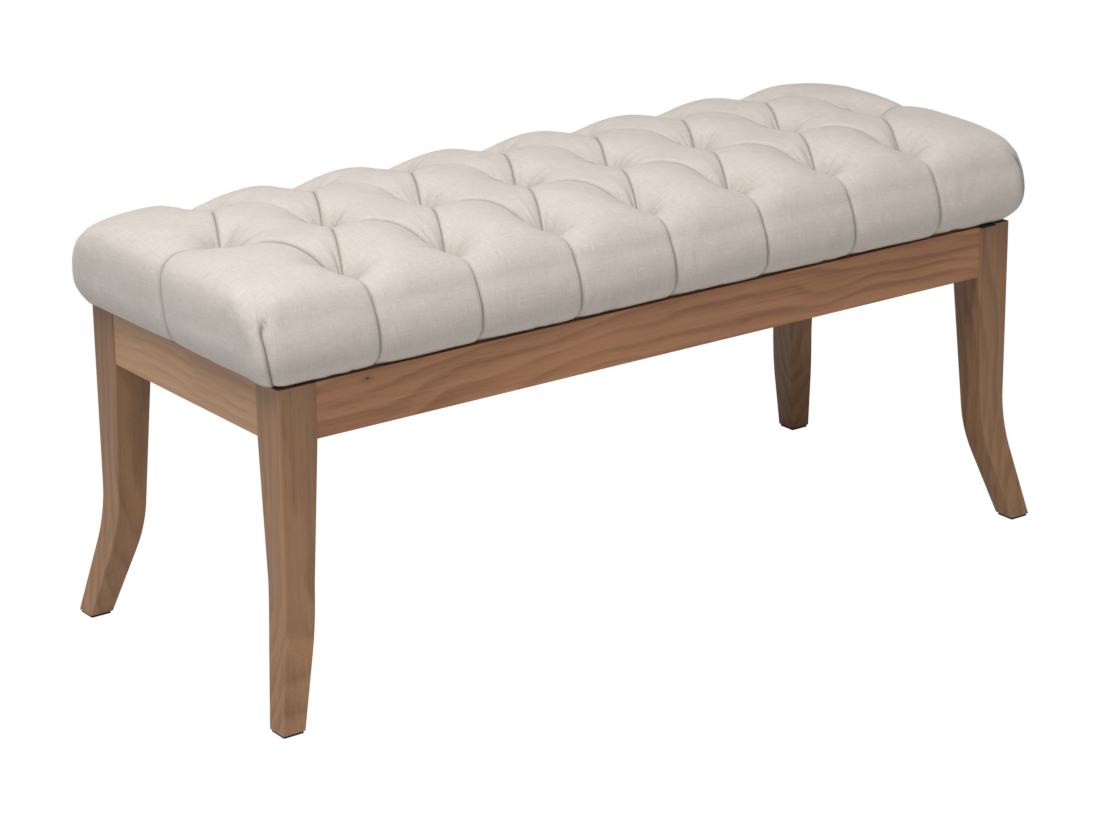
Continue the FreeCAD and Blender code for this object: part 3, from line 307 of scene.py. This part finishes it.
def outward_frame(line, normal, along):
    """Direction in which the cloth is drawn in, down a column: straight down, then square to the cloth."""
    tangent = np.gradient(line, axis=0)
    out, rise = (tangent[:, :2] * normal).sum(axis=1), tangent[:, 2]
    length = np.maximum(np.hypot(out, rise), 1e-9)
    square = np.column_stack([rise[:, None] / length[:, None] * normal, -out / length])
    share = eased(along, 0, 38)[:, None]
    mixed = (1 - share) * np.array([0, 0, -1.0]) + share * square
    return mixed / np.linalg.norm(mixed, axis=1, keepdims=True)


def side_line(down):
    """The untufted side below the outer tufts: its reach and height, and its length from the top."""
    start = next(number for number, (reach, height) in enumerate(SIDE_PROFILE) if reach == ROW)
    line = smooth_line(SIDE_PROFILE[start::-1], down)
    along = np.concatenate([[0], np.cumsum(np.linalg.norm(np.diff(line, axis=0), axis=1))])
    return line, along


def add_side_puff(grid, number, side, across, down):
    """The side below one puff of the long sides."""
    line, along = side_line(down)
    column = np.column_stack([np.zeros(len(down)), line[:, 0], line[:, 1]])
    inward = outward_frame(column, np.array([0.0, 1.0]), along)
    x = middle_x(number) + PITCH * (across - 0.5)
    points = np.broadcast_to(column[:, None], (len(down), len(across), 3)).copy()
    points[..., 0] = x
    points[..., 1] *= side
    distance = np.broadcast_to(PITCH * np.minimum(across, 1 - across), points.shape[:2])
    fallen = np.broadcast_to(side * (ROW + along)[:, None], distance.shape)
    cloth = np.stack([points[..., 0], fallen], axis=-1)
    wrinkles = side_wrinkles(points, np.broadcast_to(down[:, None], distance.shape)) * eased(distance, 0, 12)
    depth, shade = drawn_in(points, distance, across if side > 0 else 1 - across)
    moved = points + (depth + wrinkles)[..., None] * (inward * np.array([1, side, 1]))[:, None]
    grid.add(moved, cloth, distance, shade, side < 0)


def build_cushion_grids():
    """The tufted cushion: puffs between folds on top, side puffs, and four corners that wrap round."""
    grid = CushionGrid()
    across = crowded(ACROSS_STEPS, 1.6)
    rows = crowded(FOLD_STEPS)[:, None]
    down = np.linspace(0, 1, DOWN_STEPS + 1) ** 1.4
    lean = math.cos(math.atan2(PITCH / 2, ROW))

    def add_top(x, y, distance, gentle, flip):
        x, y, distance, gentle = np.broadcast_arrays(x, y, distance, gentle)
        points = np.stack([x, y, crown(x, y)], axis=-1)
        depth, shade = drawn_in(points, distance, gentle)
        moved = points.copy()
        moved[..., 2] -= depth
        grid.add(moved, points[..., :2], distance, shade, flip)

    for side in (-1, 1):
        # the folds lap the same way round on both sides
        from_full = across if side < 0 else 1 - across
        for number in range(COLUMNS - 1):
            width = PITCH * (1 - rows)
            distance = width * np.minimum(across, 1 - across) * lean
            x = outer_x(number) + width * (across - 0.5)
            add_top(x, side * ROW * rows, distance, 0.6 * from_full, side < 0)
        for number in range(1, COLUMNS - 1):
            width = PITCH * rows
            distance = width * np.minimum(across, 1 - across) * (lean + (1 - lean) * rows)
            gentle = 1 - from_full * rows**3
            x = middle_x(number) + width * (across - 0.5)
            add_top(x, side * ROW * rows, distance, gentle, side < 0)
            add_side_puff(grid, number, side, across, down)
    for end in (-1, 1):
        for side in (-1, 1):
            add_corner(grid, end, side, down)
    return grid


def corner_outline(height, straight_share, turn, end_share, start):
    """The rounded outline at a height, at one column of a corner."""
    half_length = float(reach_at(END_PROFILE_BELOW, height))
    half_depth = float(reach_at(SIDE_PROFILE, height))
    radius = float(np.interp(height, *zip(*CORNER_RADIUS)))
    if turn <= 0:
        return np.array([start + straight_share * (half_length - radius - start), half_depth])
    if end_share > 0:
        return np.array([half_length, (1 - end_share) * (half_depth - radius)])
    middle = np.array([half_length - radius, half_depth - radius])
    return middle + radius * np.array([math.sin(turn), math.cos(turn)])


END_PROFILE_BELOW = END_PROFILE[:12]


def add_corner(grid, end, side, down):
    """The cushion's corner, from the fold between the last two tufts to its edges, mirrored to its place."""
    start, last = outer_x(COLUMNS - 2), middle_x(COLUMNS - 1)
    widest_length, widest_depth, radius = 524.0, 206.0, 27.0
    straight_side, bend = widest_length - radius - start, radius * math.pi / 2
    straight_end = widest_depth - radius
    to_corner, total = straight_side + bend / 2, straight_side + bend + straight_end
    half = crowded(FOLD_STEPS // 2)
    walk = np.concatenate([half * to_corner, to_corner + half[1:] * (total - to_corner)])
    share = 1 - crowded(FOLD_STEPS)
    fold = np.column_stack([last + (start - last) * share, ROW * share])
    levels = np.concatenate([np.linspace(SIDE_TOP, 400, 10), np.linspace(394, LOWER_EDGE, 8)])
    shape = (len(down), len(walk))
    base, inward, cloth = np.zeros(shape + (3,)), np.zeros(shape + (3,)), np.zeros(shape + (2,))
    drop = np.zeros(shape)
    for column, place in enumerate(walk):
        straight_share = min(place / straight_side, 1)
        turn = min(max((place - straight_side) / radius, 0), math.pi / 2)
        end_share = max((place - straight_side - bend) / straight_end, 0)
        normal = np.array([math.sin(turn), math.cos(turn)])
        below = [np.append(corner_outline(level, straight_share, turn, end_share, start), level)
                 for level in levels]
        plan = fold[column] + (below[0][:2] - fold[column]) * np.linspace(0, 1, 30)[:-1, None]
        top = np.column_stack([plan, crown(plan[:, 0], plan[:, 1])])
        line = smooth_line(np.vstack([top, below]), down)
        along = np.concatenate([[0], np.cumsum(np.linalg.norm(np.diff(line, axis=0), axis=1))])
        if column == 0:
            profile, along = side_line(down)
            line = np.column_stack([np.full(len(down), start), profile])
        base[:, column] = line
        inward[:, column] = outward_frame(line, normal, along)
        past = np.interp(line[:, 2], [400, SIDE_TOP], [1, 0])
        turned = turn > math.pi / 4
        fallen = np.maximum(along - np.interp(SIDE_TOP, line[::-1, 2], along[::-1]), 0)
        cloth[:, column, 0] = line[:, 0] * (1 - past) + widest_length * past if turned else line[:, 0]
        cloth[:, column, 1] = line[:, 1] if turned else line[:, 1] * (1 - past) + widest_depth * past
        cloth[:, column, 0 if turned else 1] += fallen
        drop[:, column] = down
    way = np.array([start - last, ROW])
    along_fold = np.clip(((base[..., :2] - [last, 0]) @ way) / (way @ way), 0, 1)
    to_fold = np.linalg.norm(base[..., :2] - [last, 0] - along_fold[..., None] * way, axis=-1)
    to_side = np.where(base[..., 1] >= ROW, np.abs(base[..., 0] - start), 1e3)
    to_end = np.where(base[..., 0] >= last, np.abs(base[..., 1]), 1e3)
    distance = np.minimum(np.minimum(to_fold, to_side), to_end)
    closeness = [np.exp(-away / 18) for away in (to_fold, to_side, to_end)]
    gentle_at = (1.0, 0.0, 0.5) if end == side else (0.6, 1.0, 0.5)
    gentle = sum(near * value for near, value in zip(closeness, gentle_at)) / (sum(closeness) + 1e-6)
    mirror = np.array([end, side, 1])
    base, inward = base * mirror, inward * mirror
    # the lap at the corner: the end's cloth lies over the side's, from a little below the top
    lap = walk - to_corner + 9 * eased(base[..., 2], 425, 452)
    lapped = 1 - eased(base[..., 2], 440, 451)
    over = -LAP_RISE * eased(lap, 0, 1.5) * np.exp(-np.maximum(lap, 0) / 26)
    over = over + LAP_GROOVE * np.exp(-np.abs(lap - 0.4) / 2.0)
    depth, shade = drawn_in(base, distance, gentle)
    depth = depth + side_wrinkles(base, drop) * eased(distance, 0, 12) + over * lapped
    # distance that sets the painted fold shade; below the top, the lap's groove counts as a fold
    to_crease = np.minimum(distance, np.abs(lap) + 60 * (1 - lapped))
    grid.add(base + depth[..., None] * inward, cloth * mirror[:2], to_crease, shade, end * side > 0)


def make_cushion():
    """The cushion in place of the cover and foam."""
    mesh = build_cushion_grids().mesh("cushion")
    mesh.materials.append(linen())
    cushion = bpy.data.objects.new("cushion", mesh)
    bpy.context.scene.collection.objects.link(cushion)
    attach(cushion, "root")
    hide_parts("seat_cover", "seat_foam")
    return cushion


# Materials

def add_node(tree, kind, **values):
    """A shader node with its properties, or inputs given by name, set."""
    item = tree.nodes.new(kind)
    for name, value in values.items():
        if hasattr(item, name):
            setattr(item, name, value)
        else:
            item.inputs[name.replace("_", " ")].default_value = value
    return item


def arithmetic(tree, operation, first, second=None):
    """A Math node whose two inputs are sockets or numbers."""
    item = tree.nodes.new("ShaderNodeMath")
    item.operation = operation
    for number, value in enumerate((first, second)):
        if value is None:
            continue
        if isinstance(value, bpy.types.NodeSocket):
            tree.links.new(value, item.inputs[number])
        else:
            item.inputs[number].default_value = value
    return item.outputs[0]


def weighed_in(tree, value, part, weight):
    """The value with a weighed part added."""
    return arithmetic(tree, "ADD", value, arithmetic(tree, "MULTIPLY", part, weight))


def mixed_colour(tree, share, first, second):
    """A colour mix of two sockets or colours."""
    item = tree.nodes.new("ShaderNodeMix")
    item.data_type = "RGBA"
    for socket, value in ((item.inputs["Factor"], share), (item.inputs[6], first), (item.inputs[7], second)):
        if isinstance(value, bpy.types.NodeSocket):
            tree.links.new(value, socket)
        else:
            socket.default_value = value
    return item.outputs[2]


def stretched(tree, place, scale):
    """A place scaled apart along its three ways."""
    item = add_node(tree, "ShaderNodeMapping")
    item.inputs["Scale"].default_value = scale
    tree.links.new(place, item.inputs["Vector"])
    return item.outputs["Vector"]


def noise_at(tree, place, detail=2.0, roughness=0.5):
    item = add_node(tree, "ShaderNodeTexNoise", Scale=1.0, Detail=detail, Roughness=roughness)
    tree.links.new(place, item.inputs["Vector"])
    return item.outputs["Fac"]


def stepped(tree, value, low, high):
    """0 below low, 1 above high, smooth between."""
    item = tree.nodes.new("ShaderNodeMapRange")
    item.interpolation_type = "SMOOTHSTEP"
    item.inputs["From Min"].default_value = low
    item.inputs["From Max"].default_value = high
    tree.links.new(value, item.inputs["Value"])
    return item.outputs["Result"]


def new_group(name, entries, results):
    """An empty node group with named inputs and outputs."""
    group = bpy.data.node_groups.new(name, "ShaderNodeTree")
    for entry, kind, value in entries:
        socket = group.interface.new_socket(entry, in_out="INPUT", socket_type=kind)
        if value is not None:
            socket.default_value = value
    for result, kind in results:
        group.interface.new_socket(result, in_out="OUTPUT", socket_type=kind)
    return group, group.nodes.new("NodeGroupInput"), group.nodes.new("NodeGroupOutput")


RINGS_PER_METRE = 82.0
THREAD_PITCH = 0.0009


def wood_group():
    """Sawn wood: growth rings stretched along Z, fibres, pores and patches of tone."""
    tree, given, result = new_group(
        "sawn wood", [("Place", "NodeSocketVector", None), ("Heart", "NodeSocketVector", None),
                      ("Light", "NodeSocketColor", (0.5, 0.3, 0.18, 1)),
                      ("Dark", "NodeSocketColor", (0.3, 0.16, 0.09, 1)),
                      ("Figure", "NodeSocketFloat", 0.6)],
        [("Color", "NodeSocketColor"), ("Roughness", "NodeSocketFloat"), ("Height", "NodeSocketFloat")])
    place = given.outputs["Place"]
    # the rings are long shells round the heart, shaken by slow noise
    shake = add_node(tree, "ShaderNodeTexNoise", Scale=1.0, Detail=2.0)
    tree.links.new(stretched(tree, place, (14, 14, 4.5)), shake.inputs["Vector"])
    offset = add_node(tree, "ShaderNodeVectorMath", operation="MULTIPLY_ADD")
    tree.links.new(shake.outputs["Color"], offset.inputs[0])
    offset.inputs[1].default_value = (0.045, 0.045, 0.16)
    tree.links.new(place, offset.inputs[2])
    from_heart = add_node(tree, "ShaderNodeVectorMath", operation="SUBTRACT")
    tree.links.new(offset.outputs[0], from_heart.inputs[0])
    tree.links.new(given.outputs["Heart"], from_heart.inputs[1])
    far = add_node(tree, "ShaderNodeVectorMath", operation="LENGTH")
    tree.links.new(stretched(tree, from_heart.outputs[0], (1, 1, 0.16)), far.inputs[0])
    ring = arithmetic(tree, "FRACT", arithmetic(tree, "MULTIPLY", far.outputs["Value"], RINGS_PER_METRE))
    # a ring darkens slowly and ends sharply
    late = arithmetic(tree, "MULTIPLY", arithmetic(tree, "POWER", ring, 1.6), arithmetic(
        tree, "SUBTRACT", 1.0, stepped(tree, ring, 0.72, 1.0)))
    fibre = noise_at(tree, stretched(tree, place, (900, 900, 16)), 3.0, 0.6)
    streak = noise_at(tree, stretched(tree, place, (150, 150, 3.2)), 2.0)
    patch = noise_at(tree, stretched(tree, place, (14, 14, 3.0)), 1.0)
    pore = stepped(tree, noise_at(tree, stretched(tree, place, (1300, 1300, 42)), 1.0), 0.62, 0.72)
    tone = arithmetic(tree, "MULTIPLY", late, given.outputs["Figure"])
    for part, weight in ((fibre, 0.45), (streak, 0.55), (patch, 0.7)):
        tone = weighed_in(tree, tone, arithmetic(tree, "SUBTRACT", part, 0.5), weight)
    tone = weighed_in(tree, tone, pore, 0.22)
    tone = arithmetic(tree, "ADD", tone, 0.22)
    held = stepped(tree, tone, -0.1, 1.05)
    colour = mixed_colour(tree, held, given.outputs["Light"], given.outputs["Dark"])
    tree.links.new(colour, result.inputs["Color"])
    dull = arithmetic(tree, "ADD", arithmetic(tree, "MULTIPLY", fibre, 0.16), 0.38)
    tree.links.new(weighed_in(tree, dull, pore, 0.15), result.inputs["Roughness"])
    height = weighed_in(tree, arithmetic(tree, "MULTIPLY", fibre, 0.4), pore, -0.6)
    tree.links.new(height, result.inputs["Height"])
    return tree


WAYS = {"z": ("X", "Y", "Z"), "x": ("Y", "Z", "X"), "y": ("Z", "X", "Y")}


def wood(name, way, heart, light, dark, figure=0.6, knots=(), coat=0.12):
    """Wood whose grain runs along one way; heart is where the rings' middle lies, in that turned frame."""
    material, tree, shader = blank_material(name)
    parts = add_node(tree, "ShaderNodeSeparateXYZ")
    place = add_node(tree, "ShaderNodeTexCoord").outputs["Object"]
    tree.links.new(place, parts.inputs[0])
    turned = add_node(tree, "ShaderNodeCombineXYZ")
    for entry, source in zip("XYZ", WAYS[way]):
        tree.links.new(parts.outputs[source], turned.inputs[entry])
    grain = tree.nodes.new("ShaderNodeGroup")
    grain.node_tree = bpy.data.node_groups["sawn wood"]
    tree.links.new(turned.outputs[0], grain.inputs["Place"])
    grain.inputs["Heart"].default_value = heart
    grain.inputs["Light"].default_value = (*light, 1)
    grain.inputs["Dark"].default_value = (*dark, 1)
    grain.inputs["Figure"].default_value = figure
    colour = grain.outputs["Color"]
    for spot, width in knots:
        away = add_node(tree, "ShaderNodeVectorMath", operation="SUBTRACT")
        tree.links.new(place, away.inputs[0])
        away.inputs[1].default_value = spot
        far = add_node(tree, "ShaderNodeVectorMath", operation="LENGTH")
        along = (0.55, 1, 1) if way == "x" else (1, 1, 0.55)
        tree.links.new(stretched(tree, away.outputs[0], along), far.inputs[0])
        grit = noise_at(tree, stretched(tree, place, (400, 400, 400)))
        reach = weighed_in(tree, far.outputs["Value"], grit, width * 0.9)
        dark_eye = arithmetic(tree, "SUBTRACT", 1.0, stepped(tree, reach, width * 0.7, width * 1.5))
        halo = arithmetic(tree, "SUBTRACT", 1.0, stepped(tree, reach, width, width * 4.2))
        colour = mixed_colour(tree, arithmetic(tree, "MULTIPLY", halo, 0.4), colour, (*dark, 1))
        colour = mixed_colour(tree, dark_eye, colour, (0.06, 0.03, 0.018, 1))
    tree.links.new(colour, shader.inputs["Base Color"])
    tree.links.new(grain.outputs["Roughness"], shader.inputs["Roughness"])
    bumped(tree, shader, grain.outputs["Height"], 0.00012, 0.5)
    shader.inputs["Coat Weight"].default_value = coat
    shader.inputs["Coat Roughness"].default_value = 0.35
    return material


def blank_material(name):
    material = bpy.data.materials.new(name)
    material.use_nodes = True
    return material, material.node_tree, material.node_tree.nodes["Principled BSDF"]


def bumped(tree, shader, height, distance, strength=1.0):
    bump = add_node(tree, "ShaderNodeBump", Strength=strength, Distance=distance)
    tree.links.new(height, bump.inputs["Height"])
    tree.links.new(bump.outputs["Normal"], shader.inputs["Normal"])


def weave_group():
    """Plain weave of slubby threads, from a cloth coordinate in metres."""
    tree, given, result = new_group(
        "slubby weave", [("Cloth", "NodeSocketVector", None), ("Pitch", "NodeSocketFloat", THREAD_PITCH)],
        [("Shade", "NodeSocketFloat"), ("Height", "NodeSocketFloat")])
    cloth = given.outputs["Cloth"]
    parts = add_node(tree, "ShaderNodeSeparateXYZ")
    tree.links.new(cloth, parts.inputs[0])
    waves = []
    for way in ("X", "Y"):
        turns = arithmetic(tree, "DIVIDE", parts.outputs[way], given.outputs["Pitch"])
        waves.append(arithmetic(tree, "SINE", arithmetic(tree, "MULTIPLY", turns, math.pi)))
    weave = arithmetic(tree, "ABSOLUTE", arithmetic(tree, "MULTIPLY", waves[0], waves[1]))
    across = noise_at(tree, stretched(tree, cloth, (52, 620, 1)), 2.0, 0.6)
    upright = noise_at(tree, stretched(tree, cloth, (620, 52, 1)), 2.0, 0.6)
    speck = noise_at(tree, stretched(tree, cloth, (850, 850, 1)), 1.0)
    slub = stepped(tree, arithmetic(tree, "MAXIMUM", across, upright), 0.56, 0.74)
    thin = stepped(tree, arithmetic(tree, "MINIMUM", across, upright), 0.44, 0.28)
    patch = noise_at(tree, stretched(tree, cloth, (30, 30, 1)), 2.0)
    shade = weighed_in(tree, 0.42, slub, 0.42)
    for part, weight in ((thin, -0.3), (speck, 0.35), (weave, 0.12), (patch, 0.3)):
        middle = 0.0 if part is thin else 0.5
        shade = weighed_in(tree, shade, arithmetic(tree, "SUBTRACT", part, middle), weight)
    tree.links.new(shade, result.inputs["Shade"])
    height = weighed_in(tree, arithmetic(tree, "MULTIPLY", weave, 0.5), slub, 0.5)
    tree.links.new(height, result.inputs["Height"])
    return tree


def linen():
    """Undyed linen: a slubby plain weave, with painted shade in the folds, tuft hollows and tucked edge."""
    material, tree, shader = blank_material("linen")
    cloth = add_node(tree, "ShaderNodeUVMap", uv_map="cloth")
    weave = tree.nodes.new("ShaderNodeGroup")
    weave.node_tree = bpy.data.node_groups["slubby weave"]
    tree.links.new(cloth.outputs["UV"], weave.inputs["Cloth"])
    weave.inputs["Pitch"].default_value = THREAD_PITCH
    colour = mixed_colour(tree, weave.outputs["Shade"], (*LINEN_DARK, 1), (*LINEN_LIGHT, 1))
    # painted shade from the crease attribute, mixed towards a dark brown
    crease = add_node(tree, "ShaderNodeAttribute", attribute_name="crease")
    painted_fold_shade = arithmetic(tree, "MULTIPLY", crease.outputs["Fac"], 0.8)
    colour = mixed_colour(tree, painted_fold_shade, colour, (*LINEN_PAINTED_SHADE, 1))
    tree.links.new(colour, shader.inputs["Base Color"])
    bumped(tree, shader, weave.outputs["Height"], 0.00035, 0.8)
    shader.inputs["Roughness"].default_value = 0.92
    shader.inputs["Specular IOR Level"].default_value = 0.25
    shader.inputs["Sheen Weight"].default_value = 0.18
    shader.inputs["Sheen Roughness"].default_value = 0.5
    return material


def speckled(name, dark, light, scale, roughness, metallic=0.0, bump=0.0001):
    """A fine-grained material that runs between two colours."""
    material, tree, shader = blank_material(name)
    place = add_node(tree, "ShaderNodeTexCoord").outputs["Object"]
    grain = noise_at(tree, stretched(tree, place, scale), 3.0, 0.6)
    colour = mixed_colour(tree, stepped(tree, grain, 0.3, 0.7), (*dark, 1), (*light, 1))
    tree.links.new(colour, shader.inputs["Base Color"])
    dull = arithmetic(tree, "ADD", arithmetic(tree, "MULTIPLY", grain, 0.2), roughness - 0.1)
    tree.links.new(dull, shader.inputs["Roughness"])
    shader.inputs["Metallic"].default_value = metallic
    bumped(tree, shader, grain, bump, 0.6)
    return material


def plywood():
    """Birch plywood: veneers stacked along Z."""
    material, tree, shader = blank_material("plywood")
    place = add_node(tree, "ShaderNodeTexCoord").outputs["Object"]
    parts = add_node(tree, "ShaderNodeSeparateXYZ")
    tree.links.new(place, parts.inputs[0])
    layer = arithmetic(tree, "PINGPONG", parts.outputs["Z"], 0.0015)
    line = stepped(tree, layer, 0.0004, 0.0009)
    fibre = noise_at(tree, stretched(tree, place, (16, 500, 500)), 3.0)
    light = mixed_colour(tree, fibre, (0.42, 0.3, 0.18, 1), (0.6, 0.46, 0.3, 1))
    colour = mixed_colour(tree, arithmetic(tree, "MULTIPLY", line, 0.35), light, (0.3, 0.2, 0.11, 1))
    tree.links.new(colour, shader.inputs["Base Color"])
    bumped(tree, shader, fibre, 0.0001, 0.6)
    shader.inputs["Roughness"].default_value = 0.7
    return material


LINEN_LIGHT = (0.75, 0.695, 0.65)
LINEN_DARK = (0.55, 0.49, 0.435)
# colour of the painted shade in folds, tuft hollows and the tucked edge
LINEN_PAINTED_SHADE = (0.12, 0.09, 0.065)
WOOD_LIGHT = (0.50, 0.235, 0.108)
WOOD_DARK = (0.23, 0.086, 0.034)
LEG_LIGHT = (0.37, 0.195, 0.092)
LEG_DARK = (0.155, 0.071, 0.030)
PINE_LIGHT = (0.62, 0.44, 0.26)
PINE_DARK = (0.44, 0.28, 0.15)
SHORT_RAIL_LIGHT = (0.53, 0.30, 0.162)
SHORT_RAIL_DARK = (0.29, 0.145, 0.07)
DOWEL_LIGHT = (0.62, 0.47, 0.31)
DOWEL_DARK = (0.5, 0.36, 0.22)


def dress_nodes():
    """Gives each kept node of the frame its finish."""
    wood_group()
    weave_group()
    knots = (((-0.393, -0.191, 0.3575), 0.0021),)
    long_rail = wood("rail_wood", "x", (-0.235, 0.285, 0.16), WOOD_LIGHT, WOOD_DARK, 0.5, knots)
    back_rail = wood("rail_wood_back", "x", (0.25, 0.24, -0.2), WOOD_LIGHT, WOOD_DARK, 0.5)
    short_rail = wood("rail_wood_short", "y", (0.24, -0.56, 0.1), SHORT_RAIL_LIGHT, SHORT_RAIL_DARK, 0.35)
    pine_across = wood("block_wood", "x", (0.1, 0.28, 0.0), PINE_LIGHT, PINE_DARK, 0.7, coat=0.0)
    pine_deep = wood("block_wood_deep", "y", (0.28, 0.05, 0.0), PINE_LIGHT, PINE_DARK, 0.7, coat=0.0)
    dowel = wood("dowel_wood", "z", (0.0, 0.0, 0.0), DOWEL_LIGHT, DOWEL_DARK, 0.3, coat=0.0)
    finishes = {
        "rail_front": long_rail, "rail_back": back_rail, "rail_left": short_rail, "rail_right": short_rail,
        "cross_rail": pine_deep, "rail_dowels": dowel, "cross_rail_dowels": dowel,
        "seat_board": plywood(),
        "dust_cloth": speckled("dust_cloth", (0.012, 0.012, 0.013), (0.04, 0.04, 0.042),
                               (900, 900, 900), 0.9),
        "side_tag": speckled("tag", (0.01, 0.01, 0.011), (0.035, 0.035, 0.037), (1200, 300, 1200), 0.85),
        "tuft_twines": speckled("twine", (0.42, 0.36, 0.28), (0.66, 0.6, 0.5),
                                (1500, 1500, 500), 0.9, 0, 0.0003),
    }
    steel = speckled("zinc_steel", (0.5, 0.5, 0.48), (0.72, 0.72, 0.7), (300, 300, 300), 0.38, 1.0, 0.00003)
    pad = speckled("pad_plastic", (0.008, 0.008, 0.008), (0.02, 0.02, 0.02), (700, 700, 700), 0.55)
    for name in ("hanger_bolts", "bolt_washers", "bolt_nuts", "block_screws", "seat_screws", "cover_staples",
                 "dust_cloth_staples"):
        finishes[name] = steel
    for end_sign, end in ((-1, "left"), (1, "right")):
        for side_sign, side in ((-1, "front"), (1, "back")):
            corner = f"{side}_{end}"
            heart = (end_sign * 0.44, side_sign * 0.09, 0.3 + 0.1 * end_sign * side_sign)
            finishes["leg_" + corner] = wood("leg_wood_" + corner, "z", heart, LEG_LIGHT, LEG_DARK, 0.4)
            finishes["foot_pad_" + corner] = pad
            finishes["corner_block_" + corner] = pine_across
    for name, material in finishes.items():
        mesh = nodes[name].data
        mesh.materials.clear()
        mesh.materials.append(material)


# Studio

FLOOR_HALF = 30


def white_to_camera(tree, plain, kind, output):
    """Shows plain white to the camera, and the plain shader to everything else."""
    white = tree.nodes.new(kind)
    white.inputs["Color"].default_value = (1, 1, 1, 1)
    seen = tree.nodes.new("ShaderNodeLightPath")
    mix = tree.nodes.new("ShaderNodeMixShader")
    tree.links.new(seen.outputs["Is Camera Ray"], mix.inputs["Fac"])
    tree.links.new(plain.outputs[0], mix.inputs[1])
    tree.links.new(white.outputs[0], mix.inputs[2])
    tree.links.new(mix.outputs["Shader"], tree.nodes[output].inputs["Surface"])


def make_studio():
    """A pale floor, a white surround and two soft lamps."""
    floor_mesh = bpy.data.meshes.new("floor")
    half = FLOOR_HALF
    corners = [(-half, -half, 0), (half, -half, 0), (half, half, 0), (-half, half, 0)]
    floor_mesh.from_pydata(corners, [], [(0, 1, 2, 3)])
    floor = bpy.data.objects.new("floor", floor_mesh)
    bpy.context.scene.collection.objects.link(floor)
    material = bpy.data.materials.new("floor")
    material.use_nodes = True
    tree = material.node_tree
    shader = tree.nodes["Principled BSDF"]
    shader.inputs["Base Color"].default_value = (0.72, 0.72, 0.72, 1)
    shader.inputs["Roughness"].default_value = 1
    shader.inputs["Specular IOR Level"].default_value = 0
    white_to_camera(tree, shader, "ShaderNodeEmission", "Material Output")
    floor_mesh.materials.append(material)

    world = bpy.data.worlds.new("studio")
    world.use_nodes = True
    bpy.context.scene.world = world
    tree = world.node_tree
    soft = tree.nodes["Background"]
    soft.inputs["Color"].default_value = (1, 1, 1, 1)
    soft.inputs["Strength"].default_value = 0.29
    white_to_camera(tree, soft, "ShaderNodeBackground", "World Output")

    for name, place, aim, side, power, colour in (
            ("key", (-1.45, -0.5, 3.3), (0, 0, 0.4), 1.6, 103, (1, 1, 1)),
            ("fill", (1.0, -3.6, 1.4), (0, 0, 0.3), 2.2, 12, (1, 0.93, 0.85))):
        light = bpy.data.lights.new(name, "AREA")
        light.size = side
        light.energy = power
        light.color = colour
        lamp = bpy.data.objects.new(name, light)
        lamp.location = place
        lamp.rotation_euler = (Vector(aim) - Vector(place)).to_track_quat("-Z", "Y").to_euler()
        bpy.context.scene.collection.objects.link(lamp)


place_camera()
make_studio()
dress_nodes()
make_cushion()
bpy.context.scene.view_settings.view_transform = "Standard"
